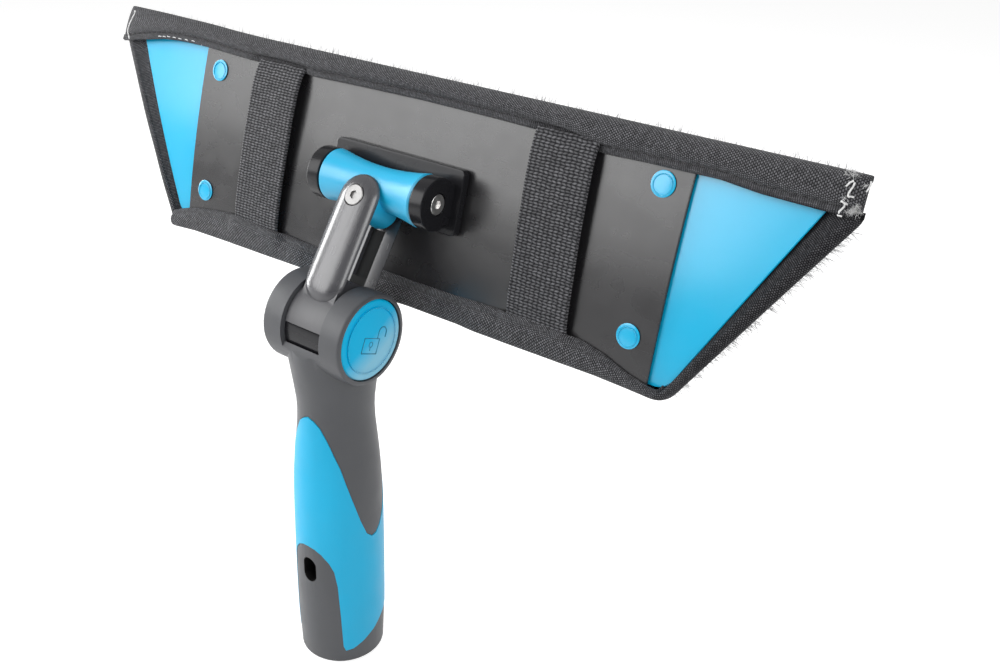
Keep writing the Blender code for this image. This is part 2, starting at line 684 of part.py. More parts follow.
def make_index_drum():
    """The toothed insert that the lock's ring engages, keyed in the fork by its lower face."""
    solids = dict(index_drum_solids(0, 0))
    drum = add_object("index_drum", solids["index_core"], "gloss black", knuckle)
    lower = add_object("index_face", solids["index_face"], parent=knuckle)
    limit = add_object("index_limit", rod(INDEX_FACE_RADIUS, -DRUM_FACE - OVERRUN,
                                          DRUM_FACE + OVERRUN, steps=KNUCKLE_STEPS), parent=knuckle)
    combine(lower, limit, "INTERSECT")
    combine(drum, lower, "UNION")
    stub = DRUM_FACE - BUSH_DRUM_DEPTH - CLEARANCE
    slots = gear_outline(RING_ROOT_RADIUS + CLEARANCE, RING_TIP_RADIUS + CLEARANCE, TOOTH_SLOT_SHARES,
                         FORK_TILT)
    spaces = (
        ("free_bore", rod(INDEX_BORE_RADIUS, -stub - OVERRUN, 0)),
        ("toothed_bore", flat_outline(slots, -OVERRUN, INDEX_TOOTH_LENGTH + OVERRUN)),
        ("far_bore", rod(INDEX_BORE_RADIUS, INDEX_TOOTH_LENGTH, stub + OVERRUN)),
        ("left_bush_seat", rod(BUSH_RADIUS + CLEARANCE, -DRUM_FACE - OVERRUN, -stub)),
        ("right_bush_seat", rod(BUSH_RADIUS + CLEARANCE, stub, DRUM_FACE + OVERRUN)))
    for name, space in spaces:
        combine(drum, add_object(name, space, parent=knuckle))


def screw_profile(head_radius, head_height, shank_radius, shank_length):
    """A screw's profile: the head's top is at height 0 and the shank runs down."""
    edge = head_height / 4
    return [(0, 0), (head_radius - edge, 0), (head_radius, -edge), (head_radius, -head_height),
            (shank_radius, -head_height), (shank_radius, -head_height - shank_length),
            (0, -head_height - shank_length)]


def add_key_socket(screw, parent, across, top, axis, inward):
    """A six-sided key socket in a screw's head."""
    low, high = sorted((top - inward * OVERRUN, top + inward * SOCKET_KEY_DEPTH))
    key = add_object(screw.name + "_key", rod(SOCKET_KEY_RADIUS, low, high, axis, across, steps=6),
                     parent=parent)
    combine(screw, key)


def make_swivel():
    """The screw, sleeve nut, washers and bush that let the tee turn between the arms."""
    front_skin = FRONT_ARM_FACE + FRONT_ARM_THICKNESS
    rear_skin = REAR_ARM_FACE - REAR_ARM_THICKNESS
    screw = turned("swivel_screw", screw_profile(SWIVEL_HEAD_RADIUS, SWIVEL_HEAD_HEIGHT,
                                                 SWIVEL_SHANK_RADIUS, SWIVEL_SHANK_LENGTH),
                   "steel", knuckle, (0, -front_skin, SWIVEL_REACH))
    screw.rotation_euler = (math.pi / 2, 0, 0)
    add_key_socket(screw, knuckle, (0, SWIVEL_REACH), -front_skin, "Y", 1)
    sleeve_end = -front_skin + SWIVEL_HEAD_HEIGHT + CLEARANCE + CLEARANCE
    head_seat = -rear_skin - NUT_HEAD_HEIGHT
    bore = SWIVEL_SHANK_RADIUS + CLEARANCE
    bore_end = -front_skin + SWIVEL_HEAD_HEIGHT + SWIVEL_SHANK_LENGTH + CLEARANCE
    nut_profile = [(0, -rear_skin), (NUT_HEAD_RADIUS, -rear_skin), (NUT_HEAD_RADIUS, head_seat),
                   (NUT_SLEEVE_RADIUS, head_seat), (NUT_SLEEVE_RADIUS, sleeve_end),
                   (bore, sleeve_end), (bore, bore_end), (0, bore_end)]
    turned("swivel_nut", nut_profile, "steel", knuckle, (0, 0, SWIVEL_REACH), "Y")
    boss_half = ARM_GAP / 2 - WASHER_THICKNESS - CLEARANCE - CLEARANCE
    washer_bore = NUT_SLEEVE_RADIUS + CLEARANCE
    for direction, name in ((-1, "front_washer"), (1, "rear_washer")):
        low, high = sorted((direction * (boss_half + CLEARANCE),
                            direction * (boss_half + CLEARANCE + WASHER_THICKNESS)))
        turned(name, tube_profile(WASHER_RADIUS, washer_bore, low, high), "natural plastic", knuckle,
               (0, -ARM_OFFSET, SWIVEL_REACH), "Y", ring=True)
    turned("swivel_bush", tube_profile(washer_bore + BUSH_WALL, washer_bore, -boss_half, boss_half),
           "natural plastic", swivel, axis="Y", ring=True)
    return boss_half, washer_bore + BUSH_WALL + CLEARANCE


def make_tee(boss_half, boss_bore):
    """The waisted barrel and its boss, moulded as one."""
    end = BARREL_HALF_LENGTH - BARREL_EDGE_ROUNDING
    outer = []
    for place in reversed(spaced(-end, end, BARREL_STATIONS)):
        swell = (place / end) ** 2
        outer.append((BARREL_WAIST_RADIUS + (BARREL_END_RADIUS - BARREL_WAIST_RADIUS) * swell, place))
    bore = AXLE_RADIUS + CLEARANCE
    lip = BARREL_END_RADIUS - BARREL_EDGE_ROUNDING
    profile = [(0, BARREL_HALF_LENGTH), (lip, BARREL_HALF_LENGTH), *outer,
               (lip, -BARREL_HALF_LENGTH), (0, -BARREL_HALF_LENGTH)]
    tee = turned("swivel_tee", profile, "bright blue", swivel, (0, 0, BARREL_RISE), "X",
                 steps=KNUCKLE_STEPS)
    boss = add_object("boss", rod(BOSS_RADIUS, -boss_half, boss_half, "Y", steps=KNUCKLE_STEPS),
                      parent=swivel)
    combine(tee, boss, "UNION")
    hole = add_object("boss_bore", rod(boss_bore, -boss_half - OVERRUN, boss_half + OVERRUN, "Y"),
                      parent=swivel)
    combine(tee, hole)
    through = add_object("axle_bore", rod(bore, -EAR_INNER, EAR_INNER, across=(0, BARREL_RISE)),
                         parent=swivel)
    combine(tee, through)


def make_bracket():
    """The bracket: a plate with two round ears and a trough that clears the barrel."""
    plate = add_object("mount_bracket", box((-BRACKET_HALF_LENGTH, BRACKET_FRONT, -BRACKET_BOTTOM),
                                            (BRACKET_HALF_LENGTH, BRACKET_BACK, BRACKET_TOP)),
                       "gloss black", head)
    corners = plate.data
    weights = corners.attributes.new("bevel_weight_edge", "FLOAT", "EDGE")
    for edge in corners.edges:
        first, second = (corners.vertices[index].co for index in edge.vertices)
        weights.data[edge.index].value = float(abs(first.y - second.y) > BRACKET_THICKNESS / 2)
    rounding = plate.modifiers.new("round_corners", "BEVEL")
    rounding.limit_method = "WEIGHT"
    rounding.width = BRACKET_CORNER_RADIUS
    rounding.segments = 4
    round_edges(plate, BRACKET_EDGE)
    notch = add_object("arm_notch", box((-NOTCH_HALF_WIDTH, 0, -BRACKET_BOTTOM - OVERRUN),
                                        (NOTCH_HALF_WIDTH, PLATE_STANDOFF, -NOTCH_DROP)), parent=head)
    trough = add_object("barrel_trough", rod(BARREL_END_RADIUS + RUNNING_GAP, -EAR_MIDDLE, EAR_MIDDLE,
                                             steps=KNUCKLE_STEPS), parent=head)
    combine(plate, notch)
    combine(plate, trough)
    for side, side_name in ((-1, "left"), (1, "right")):
        low, high = sorted((side * EAR_INNER, side * EAR_OUTER))
        ear = add_object(side_name + "_ear", rod(BARREL_END_RADIUS, low, high, steps=KNUCKLE_STEPS),
                         parent=head)
        foot = add_object(side_name + "_ear_foot", box(
            (low, 0, -EAR_FOOT_HALF_WIDTH), (high, BRACKET_BACK - BRACKET_EDGE, EAR_FOOT_HALF_WIDTH)),
            parent=head)
        round_edges(ear, EAR_ROUNDING)
        combine(plate, ear, "UNION")
        combine(plate, foot, "UNION")
        deep = side * (EAR_OUTER - AXLE_RECESS)
        recess_low, recess_high = sorted((deep, side * (EAR_OUTER + OVERRUN)))
        recess = add_object(side_name + "_screw_recess", rod(
            AXLE_SCREW_HEAD_RADIUS + CLEARANCE, recess_low, recess_high), parent=head)
        combine(plate, recess)
    combine(plate, add_object("ear_bores", rod(AXLE_RADIUS + CLEARANCE, -EAR_OUTER, EAR_OUTER),
                              parent=head))
    for name, across, up in bracket_screw_places():
        tapping = add_object(name + "_tapping", rod(
            BRACKET_SCREW_SHANK_RADIUS + CLEARANCE,
            plate_face(0) + PLATE_THICKNESS - BRACKET_SCREW_HEAD_HEIGHT - BRACKET_SCREW_SHANK_LENGTH
            - CLEARANCE, BRACKET_BACK + OVERRUN, "Y", (across, up)), parent=head)
        combine(plate, tapping)


def bracket_screw_places():
    """The names and places of the four screws, which stand behind the ears' feet."""
    return [("%s_%s_bracket_screw" % (level_name, side_name), side * EAR_MIDDLE,
             level * BRACKET_SCREW_SPREAD)
            for side, side_name in ((-1, "left"), (1, "right"))
            for level, level_name in ((-1, "bottom"), (1, "top"))]


def make_axle():
    """The barrel's axle and the screw in each end of it."""
    half = EAR_OUTER - AXLE_RECESS
    hole_radius = AXLE_SCREW_SHANK_RADIUS + CLEARANCE
    axle = add_object("barrel_axle", rod(AXLE_RADIUS, -half, half), "steel", head)
    seat = half + CLEARANCE + AXLE_SCREW_HEAD_HEIGHT
    for side, side_name in ((-1, "left"), (1, "right")):
        screw = turned(side_name + "_axle_screw", screw_profile(
            AXLE_SCREW_HEAD_RADIUS, AXLE_SCREW_HEAD_HEIGHT, AXLE_SCREW_SHANK_RADIUS,
            AXLE_SCREW_SHANK_LENGTH), "steel", head, (side * seat, 0, 0), "X")
        screw.rotation_euler = (0, side * math.pi / 2, 0)
        add_key_socket(screw, head, (0, 0), side * seat, "X", -side)
        low, high = sorted((side * (half + OVERRUN), side * (half - AXLE_SCREW_SHANK_LENGTH)))
        combine(axle, add_object(side_name + "_axle_thread", rod(hole_radius, low, high), parent=head))


def make_plate():
    """The bowed backing plate, with its screws from behind."""
    levels = spaced(-PLATE_HALF_HEIGHT, PLATE_HALF_HEIGHT, PLATE_ROWS)
    shape = slab(levels, lambda z: -PLATE_HALF_LENGTH, lambda z: PLATE_HALF_LENGTH, plate_face,
                 lambda z: plate_face(z) + PLATE_THICKNESS)
    plate = add_object("backing_plate", shape, "satin black", head)
    round_edges(plate, PLATE_EDGE, segments=1)
    back = plate_face(0) + PLATE_THICKNESS
    profile = screw_profile(BRACKET_SCREW_HEAD_RADIUS, BRACKET_SCREW_HEAD_HEIGHT - CLEARANCE,
                            BRACKET_SCREW_SHANK_RADIUS, BRACKET_SCREW_SHANK_LENGTH)
    for name, across, up in bracket_screw_places():
        hole = add_object(name + "_hole", rod(BRACKET_SCREW_SHANK_RADIUS + CLEARANCE, 0, CORE_BACK,
                                              "Y", (across, up)), parent=head)
        sink = add_object(name + "_sink", rod(
            BRACKET_SCREW_HEAD_RADIUS + CLEARANCE, back - BRACKET_SCREW_HEAD_HEIGHT, CORE_BACK, "Y",
            (across, up)), parent=head)
        combine(plate, hole)
        combine(plate, sink)
        turned(name, profile, "steel", head, (across, back, up), "Y")
    return plate


def corner_cut(depth):
    """How far a wing's rounded lower corner draws in, at this depth below the corner's top."""
    depth = min(max(depth, 0), WING_CORNER_RADIUS)
    return WING_CORNER_RADIUS - math.sqrt(WING_CORNER_RADIUS ** 2 - depth ** 2)


def make_wings(plate):
    """The flexible wings behind the plate's ends, and the rivets that hold them."""
    corner_top = -CORE_HALF_HEIGHT + WING_CORNER_RADIUS
    levels = (spaced(-CORE_HALF_HEIGHT, corner_top, WING_CORNER_ROWS)[:-1]
              + spaced(corner_top, CORE_HALF_HEIGHT, PLATE_ROWS))
    slope = math.atan(2 * PLATE_BOW * RIVET_RISE / PLATE_HALF_HEIGHT ** 2)
    root = PLATE_HALF_LENGTH - WING_LAP
    depth = PLATE_THICKNESS + CLEARANCE + WING_THICKNESS
    shoulder = RIVET_HEAD_RADIUS - RIVET_HEAD_ROUNDING
    profile = [(0, RIVET_HEAD_HEIGHT), (shoulder, RIVET_HEAD_HEIGHT - RIVET_HEAD_ROUNDING / 2),
               (RIVET_HEAD_RADIUS, RIVET_HEAD_ROUNDING), (RIVET_HEAD_RADIUS, CLEARANCE),
               (RIVET_SHANK_RADIUS, CLEARANCE), (RIVET_SHANK_RADIUS, -depth), (0, -depth)]
    for side, side_name in ((-1, "left"), (1, "right")):
        def tip(height, side=side):
            return side * (pad_half_length(height) - end_strip_width(height) - CLEARANCE
                           - corner_cut(corner_top - height))
        shape = slab(levels, lambda z, side=side: side * root, tip, wing_face,
                     lambda z: wing_face(z) + WING_THICKNESS)
        wing = add_object(side_name + "_wing", shape, "bright blue", head)
        round_edges(wing, PLATE_EDGE, segments=1)
        for level, level_name in ((1, "top"), (-1, "bottom")):
            up = level * RIVET_RISE
            name = level_name + "_" + side_name
            rivet = turned(name + "_rivet", profile, "bright blue", head,
                           (side * RIVET_SPREAD, plate_face(up), up))
            rivet.rotation_euler = (math.pi / 2 - level * slope, 0, 0)
            hole = add_object(name + "_rivet_hole", rod(RIVET_SHANK_RADIUS + CLEARANCE, -depth
                                                        - OVERRUN, OVERRUN, "Z"), parent=head,
                              location=rivet.location, rotation=rivet.rotation_euler)
            combine(wing, hole)
            combine(plate, hole)


def make_pad():
    """The pad's foam core and its fleece face."""
    levels = spaced(-CORE_HALF_HEIGHT, STRIP_TOP, END_ROWS) + [CORE_HALF_HEIGHT]

    def core_tip(height):
        return pad_half_length(height) - HEM_WALL - CLEARANCE

    core = slab(levels, lambda z: -core_tip(z), core_tip,
                lambda z: wing_face(z) + WING_THICKNESS + CLEARANCE, lambda z: CORE_BACK)
    add_object("pad_core", core, "foam", head)
    top = PAD_HALF_HEIGHT + FACE_OVERHANG
    front = CORE_BACK + CLEARANCE

    def face_tip(height):
        return pad_half_length(height) + FACE_OVERHANG

    fleece = slab([-top, STRIP_TOP, top], lambda z: -face_tip(z), face_tip, lambda z: front,
                  lambda z: front + FACE_THICKNESS)
    face = add_object("microfibre_face", fleece, "white fleece", head)
    round_edges(face, FACE_ROUNDING)


def hem_section(height, crown, level):
    """A hem's outline in y and z: a padded lip on the plate and a wall over the pad's edge."""
    edge = PAD_HALF_HEIGHT
    lip_edge = edge - height
    outer = []
    for share in (0, 0.12, 0.32, 0.55, 0.78):
        up = lip_edge + height * share
        bulge = crown * math.sin(math.pi * min(1, 0.25 + share)) ** 0.7
        outer.append((plate_face(up) - CLEARANCE - LIP_THICKNESS - bulge, up))
    bend = HEM_WALL
    outer += [(plate_face(edge) - bend / 3, edge - bend / 5), (plate_face(edge) + bend, edge),
              (CORE_BACK - bend, edge), (CORE_BACK, edge - bend / 3)]
    inner = [(CORE_BACK, PAD_WALL_HEIGHT), (plate_face(edge) - CLEARANCE, PAD_WALL_HEIGHT),
             (plate_face(lip_edge + height / 2) - CLEARANCE, lip_edge + height / 2),
             (plate_face(lip_edge) - CLEARANCE, lip_edge)]
    return [(y, z * level) for y, z in outer + inner]


def make_hems():
    """The woven hems along the pad's four edges."""
    section = hem_section(TOP_HEM_HEIGHT, LIP_CROWN, 1)
    shape = flat_outline([(-z, y) for y, z in section], -PAD_TOP_HALF_LENGTH, PAD_TOP_HALF_LENGTH)
    add_object("top_hem", shape, "woven grey", head)
    rings = []
    half = PAD_BOTTOM_HALF_LENGTH
    for x in spaced(-half, half, BOTTOM_HEM_STATIONS):
        taper = min(1, (half - abs(x)) / BOTTOM_HEM_TAPER)
        ease = math.sin(taper * math.pi / 2)
        height = BOTTOM_HEM_END_HEIGHT + (BOTTOM_HEM_HEIGHT - BOTTOM_HEM_END_HEIGHT) * ease
        rings.append([(x, y, z) for y, z in hem_section(height, LIP_CROWN * ease, -1)])
    add_object("bottom_hem", loft(rings), "woven grey", head)
    levels = spaced(-CORE_HALF_HEIGHT, STRIP_TOP, END_ROWS)
    for side, side_name in ((-1, "left"), (1, "right")):
        def outer(height, side=side):
            return side * pad_half_length(height)

        def strip_edge(height, side=side):
            return side * (pad_half_length(height) - end_strip_width(height))

        def wall_edge(height, side=side):
            return side * (pad_half_length(height) - HEM_WALL)

        def strip_front(height):
            return wing_face(height) + END_STRIP_DROP

        strip = slab(levels, strip_edge, outer, strip_front, lambda z: wing_face(z) + WING_THICKNESS)
        hem = add_object(side_name + "_end_hem", strip, "woven grey", head)
        wall = slab(levels + [CORE_HALF_HEIGHT], wall_edge, outer, wing_face, lambda z: CORE_BACK)
        combine(hem, add_object(side_name + "_end_wall", wall, parent=head), "UNION")


def make_straps():
    """The elastic straps that stand off the plate between the hems."""
    top = STRIP_TOP
    bottom = BOTTOM_HEM_HEIGHT - PAD_HALF_HEIGHT + CLEARANCE
    middle = (top + bottom) / 2

    def front(height):
        reach = (height - middle) / (top - middle)
        return PLATE_STANDOFF - STRAP_STANDOFF + (STRAP_STANDOFF - STRAP_END_STANDOFF) * reach ** 2

    for side, side_name in ((-1, "left"), (1, "right")):
        def edge(offset, side=side):
            return lambda z: side * (STRAP_CENTRE + offset - STRAP_LEAN_SHARE * z)
        shape = slab(spaced(bottom, top, STRAP_ROWS), edge(-STRAP_WIDTH / 2), edge(STRAP_WIDTH / 2),
                     front, lambda z: front(z) + STRAP_THICKNESS)
        add_object(side_name + "_strap", shape, "woven grey", head)


make_handle()
make_inlay()
make_pivot_bushes()
make_lock()
make_fork()
make_index_drum()
make_tee(*make_swivel())
make_bracket()
make_axle()
make_wings(make_plate())
make_pad()
make_hems()
make_straps()
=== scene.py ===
# %% [markdown]
# # A window cleaning pad holder, dressed for its portrait
# The engineering model gives every hard piece at its true size. This lesson adds what a moulder, a
# weaver and a seamstress add to the real tool: grained plastics, turned steel, ribbed nylon hems
# with their stitching, elastic straps, and a white microfibre pile that peeps past the edges.
# Everything is in metres, in the same frame as the engineering model.

# %% Load the engineering model and measure its box
import math
import random

import bmesh
import bpy
from mathutils import Matrix, Vector, noise


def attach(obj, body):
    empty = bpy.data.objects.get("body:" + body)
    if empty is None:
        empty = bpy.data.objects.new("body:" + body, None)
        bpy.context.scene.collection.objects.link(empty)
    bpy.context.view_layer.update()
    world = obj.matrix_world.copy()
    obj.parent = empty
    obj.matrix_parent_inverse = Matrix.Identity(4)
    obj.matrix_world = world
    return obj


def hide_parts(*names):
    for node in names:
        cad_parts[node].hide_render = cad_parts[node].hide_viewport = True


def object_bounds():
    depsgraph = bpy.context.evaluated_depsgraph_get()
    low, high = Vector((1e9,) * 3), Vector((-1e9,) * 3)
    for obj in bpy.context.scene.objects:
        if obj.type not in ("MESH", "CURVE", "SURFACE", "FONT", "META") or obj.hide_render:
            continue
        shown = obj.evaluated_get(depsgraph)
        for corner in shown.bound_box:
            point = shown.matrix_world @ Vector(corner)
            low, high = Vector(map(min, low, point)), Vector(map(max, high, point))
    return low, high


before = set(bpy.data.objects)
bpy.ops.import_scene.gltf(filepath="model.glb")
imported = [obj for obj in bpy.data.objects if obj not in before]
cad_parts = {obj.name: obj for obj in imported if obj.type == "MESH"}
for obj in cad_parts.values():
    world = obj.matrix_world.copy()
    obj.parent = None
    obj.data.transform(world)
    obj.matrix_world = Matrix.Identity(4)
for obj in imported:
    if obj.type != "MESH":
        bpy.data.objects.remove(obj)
CAD_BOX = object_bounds()
MM = 0.001
dice = random.Random(7)

# %% [markdown]
# ## The camera
# The camera was worked out beforehand from the photograph's straight edges, so it stands where the
# photographer stood: right of the tool, a little above it, looking down at the pad. A camera looks
# along its own -Z axis, so its matrix is built from the three directions right, up and back.

# %% Put the camera where the photographer stood
CAMERA_PLACE = (0.2630, -0.2621, 0.2596)
CAMERA_RIGHT = (0.8035, 0.5939, 0.0413)
CAMERA_DOWN = (0.2973, -0.3400, -0.8922)
CAMERA_FORWARD = (-0.5158, 0.7291, -0.4498)
CAMERA_LENS = 38.79

camera = bpy.data.objects.new("camera", bpy.data.cameras.new("camera"))
bpy.context.scene.collection.objects.link(camera)
facing = Matrix((CAMERA_RIGHT, [-part for part in CAMERA_DOWN], [-part for part in CAMERA_FORWARD]))
camera.matrix_world = Matrix.Translation(CAMERA_PLACE) @ facing.transposed().to_4x4()
camera.data.lens = CAMERA_LENS
camera.data.clip_start = 0.01
bpy.context.scene.camera = camera
print("camera at", [round(value, 3) for value in camera.location])

# %% [markdown]
# ## Building materials out of nodes
# Every finish below is a small graph of shader nodes. Writing each link by hand is long, so one
# helper adds a node and fills its inputs: an input that is given another node's output is linked,
# and any other value is written straight on the socket.

# %% Helpers that write shader nodes
def node(tree, kind, inputs=None, **settings):
    """Add a shader node, with its settings and its inputs."""
    made = tree.nodes.new("ShaderNode" + kind)
    for name, value in settings.items():
        setattr(made, name, value)
    for name, value in (inputs or {}).items():
        fill(tree, made.inputs[name], value)
    return made


def fill(tree, socket, value):
    """Link another node's output to this socket, or write a plain value on it."""
    if isinstance(value, bpy.types.NodeSocket):
        tree.links.new(value, socket)
    else:
        socket.default_value = value


def start_finish(name, **shader_inputs):
    """A new material and its Principled shader; underscores in the names stand for spaces."""
    material = bpy.data.materials.new(name)
    material.use_nodes = True
    tree = material.node_tree
    shader = tree.nodes["Principled BSDF"]
    for label, value in shader_inputs.items():
        fill(tree, shader.inputs[label.replace("_", " ")], value)
    return material, tree, shader


def maths(tree, operation, first, second=0.0):
    """One arithmetic step on two values."""
    return node(tree, "Math", {0: first, 1: second}, operation=operation).outputs[0]


def product(tree, first, *others):
    """Some values multiplied together."""
    for other in others:
        first = maths(tree, "MULTIPLY", first, other)
    return first


def vectors(tree, operation, first, second, output=0):
    """One step on two vectors."""
    return node(tree, "VectorMath", {0: first, 1: second}, operation=operation).outputs[output]


def parts_of(tree, vector):
    """The three parts of a vector."""
    return node(tree, "SeparateXYZ", {0: vector}).outputs


def spread(tree, value, low, high, to_low, to_high):
    """Stretch a value from one range to another, held at both ends."""
    return node(tree, "MapRange", {"Value": value, "From Min": low, "From Max": high,
                                   "To Min": to_low, "To Max": to_high}).outputs[0]


def blend_colours(tree, share, first, second):
    """Mix two colours by a share."""
    mix = node(tree, "Mix", {"Factor": share}, data_type="RGBA")
    fill(tree, mix.inputs[6], first)
    fill(tree, mix.inputs[7], second)
    return mix.outputs[2]


def speckle(tree, place, size, detail=2.0, stretch=(1, 1, 1)):
    """Soft random blotches of about this size in metres, drawn out along some axes."""
    scaled = node(tree, "Mapping", {"Vector": place, "Scale": stretch}).outputs[0]
    return node(tree, "TexNoise", {"Vector": scaled, "Scale": 1 / size, "Detail": detail}).outputs[0]


def object_place(tree):
    """The point's place in the object's own metres."""
    return node(tree, "TexCoord").outputs["Object"]


def bump(tree, shader, height, depth):
    """Turn a height of 0 to 1 into relief of this depth in metres."""
    relief = node(tree, "Bump", {"Height": height, "Distance": depth})
    fill(tree, shader.inputs["Normal"], relief.outputs[0])


print("node helpers are ready")

# %% [markdown]
# ## The studio
# The photograph was taken on seamless white. A white floor that also glows a little for the camera
# stays white in the picture and yet takes the object's shadow. Behind the camera the paper ends, so
# the lower parts reflect a dark room. The world is white where the camera sees it, is darker in
# front of the tool where it's only reflected, and gives a plain, soft light to everything else.

# %% White floor
FLOOR_HEIGHT = CAD_BOX[0][2]
FLOOR_REACH = 8.0
FLOOR_GREY = 0.60
FLOOR_GLOW = 0.72
# The white paper starts this far before the tool, seen along the camera's view, and fades in from
# the brightness of the room behind the camera
FLOOR_START = -0.75
FLOOR_FADE = 0.35
ROOM_SHARE = 0.45


def seen_directly(tree, rays):
    """1 for rays from the camera and through clear things."""
    return maths(tree, "MAXIMUM", rays["Is Camera Ray"], rays["Is Transmission Ray"])


shape = bmesh.new()
bmesh.ops.create_grid(shape, x_segments=1, y_segments=1, size=FLOOR_REACH,
                      matrix=Matrix.Translation((0, 0, FLOOR_HEIGHT)))
floor_mesh = bpy.data.meshes.new("floor")
shape.to_mesh(floor_mesh)
shape.free()
floor = bpy.data.objects.new("floor", floor_mesh)
bpy.context.scene.collection.objects.link(floor)
floor_paint, tree, shader = start_finish("seamless_white", Roughness=1.0, Specular_IOR_Level=0.0)
rays = node(tree, "LightPath").outputs
nearness = vectors(tree, "DOT_PRODUCT", object_place(tree), CAMERA_FORWARD, "Value")
white = spread(tree, nearness, FLOOR_START, FLOOR_START + FLOOR_FADE, ROOM_SHARE, 1.0)
white = maths(tree, "MAXIMUM", white, rays["Is Camera Ray"])
grey = maths(tree, "MULTIPLY", white, FLOOR_GREY)
fill(tree, shader.inputs["Base Color"], node(tree, "CombineColor", {0: grey, 1: grey, 2: grey}).outputs[0])
seen = maths(tree, "MAXIMUM", seen_directly(tree, rays), rays["Is Glossy Ray"])
lit = node(tree, "Emission", {"Color": (1, 1, 1, 1), "Strength": product(tree, seen, white, FLOOR_GLOW)})
both = node(tree, "AddShader", {0: shader.outputs[0], 1: lit.outputs[0]})
fill(tree, tree.nodes["Material Output"].inputs["Surface"], both.outputs[0])
floor_mesh.materials.append(floor_paint)
print("floor at", round(FLOOR_HEIGHT, 4))

# %% Pale world
AMBIENT = 0.42
# The world is brightest this way, up and behind the tool
BRIGHT_SIDE = (0.25, 0.55, 0.8)
# How far along that way the change starts and ends, and the brightness at both, for the light on
# the tool and for what glossy surfaces show
LIGHT_RANGE = (-0.9, 0.9, 0.25, 1.0)
MIRRORED_RANGE = (-0.7, 0.9, 0.10, 0.8)

world = bpy.data.worlds.new("pale_studio")
bpy.context.scene.world = world
world.use_nodes = True
tree = world.node_tree
background = tree.nodes["Background"]
rays = node(tree, "LightPath").outputs
ahead = vectors(tree, "DOT_PRODUCT", node(tree, "TexCoord").outputs["Generated"], BRIGHT_SIDE, "Value")
reflected = product(tree, rays["Is Glossy Ray"], spread(tree, ahead, *MIRRORED_RANGE))
ambient = product(tree, spread(tree, ahead, *LIGHT_RANGE), AMBIENT,
                  maths(tree, "SUBTRACT", 1.0, rays["Is Glossy Ray"]))
seen = maths(tree, "MAXIMUM", seen_directly(tree, rays), maths(tree, "ADD", reflected, ambient))
fill(tree, background.inputs["Strength"], seen)
background.inputs["Color"].default_value = (1, 1, 1, 1)
print("world:", world.name)

# %% [markdown]
# ### Lamps
# Large soft lamps give the plastics their broad, gentle highlights. Each lamp is an area light that
# looks at the tool's knuckle, given by its distance, its direction and its size.

# %% Soft lamps round the tool
LAMP_TARGET = Vector((0, 0, 0.08))
# Each row is a name, an azimuth and an elevation in degrees, a distance, a width, a height, watts,
# and whether the lamp shows in glossy surfaces
LAMPS = (
    ("front_softbox", 234, 26, 0.95, 0.77, 0.68, 7.4, True),
    ("right_softbox", 338, 28, 1.10, 0.70, 0.70, 6.0, True),
    ("back_softbox", 100, 60, 1.10, 0.90, 0.60, 3.6, False),
    ("left_strip", 192, 12, 0.90, 0.16, 0.70, 5.4, True),
)
for name, azimuth, elevation, distance, width, height, watts, shows in LAMPS:
    lamp = bpy.data.lights.new(name, "AREA")
    lamp.shape = "RECTANGLE"
    lamp.size = width
    lamp.size_y = height
    lamp.energy = watts
    turn = math.radians(azimuth)
    rise = math.radians(elevation)
    away = Vector((math.cos(rise) * math.cos(turn), math.cos(rise) * math.sin(turn), math.sin(rise)))
    holder = bpy.data.objects.new(name, lamp)
    holder.location = LAMP_TARGET + away * distance
    holder.rotation_euler = away.to_track_quat("Z", "Y").to_euler()
    holder.visible_glossy = shows
    bpy.context.scene.collection.objects.link(holder)
bpy.context.scene.view_settings.view_transform = "Standard"
print(len(LAMPS), "lamps")

# %% [markdown]
# ## Moulded plastics
# No moulded part is one flat colour. The tool that shaped it leaves a fine grain, the colour drifts
# by a few percent, and handling polishes some places more than others. Each plastic here mixes two
# near colours by broad blotches, varies its gloss, and gets its grain as relief.

# %% One recipe for the moulded plastics
# The size in metres of the blotches of colour and of gloss, and the share that gloss varies
COLOUR_BLOTCH = 0.030
GLOSS_BLOTCH = 0.009
GLOSS_DRIFT = 0.12


def moulded(name, colour, drift, roughness, grain, depth, extra=None, **shader_inputs):
    """A moulded plastic: drift is the share its colour varies, grain its grain's size in metres.

    Extra is a function that adds this piece's own marks to the paint and the gloss."""
    material, tree, shader = start_finish(name, **shader_inputs)
    place = object_place(tree)
    broad = spread(tree, speckle(tree, place, COLOUR_BLOTCH), 0.3, 0.7, 0.0, 1.0)
    darker = (*[part * (1 - drift) for part in colour], 1)
    lighter = (*[part * (1 + drift) for part in colour], 1)
    paint = blend_colours(tree, broad, darker, lighter)
    handled = speckle(tree, place, GLOSS_BLOTCH)
    gloss = spread(tree, handled, 0.2, 0.8, roughness * (1 - GLOSS_DRIFT), roughness * (1 + GLOSS_DRIFT))
    if extra:
        paint, gloss = extra(tree, place, paint, gloss)
    fill(tree, shader.inputs["Base Color"], paint)
    fill(tree, shader.inputs["Roughness"], gloss)
    bump(tree, shader, speckle(tree, place, grain, detail=1.0), depth)
    return material


def dress(material, *names):
    """Give engineering pieces this finish."""
    for name in names:
        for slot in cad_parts[name].material_slots:
            slot.material = material


print("the plastic recipe is ready")

# %% [markdown]
# ### Long drawn streaks
# The fork's arms are polished along their length and the backing plate carries faint rub marks. Both
# are the same noise, drawn out by a Mapping node along one direction, and it changes the gloss more
# than the colour, as real handling marks do. The fork's drum was left rougher than its arms.

# %% Streaks and scuffs for the glossy pieces
KNUCKLE = (0, 0, 0.0754)
ARM_LEAN = math.radians(34)
# The drum's radius, the distance over which its finish ends, and how much rougher it is
DRUM_RADIUS = 0.0165
DRUM_FADE = 0.003
DRUM_ROUGHER = 0.28
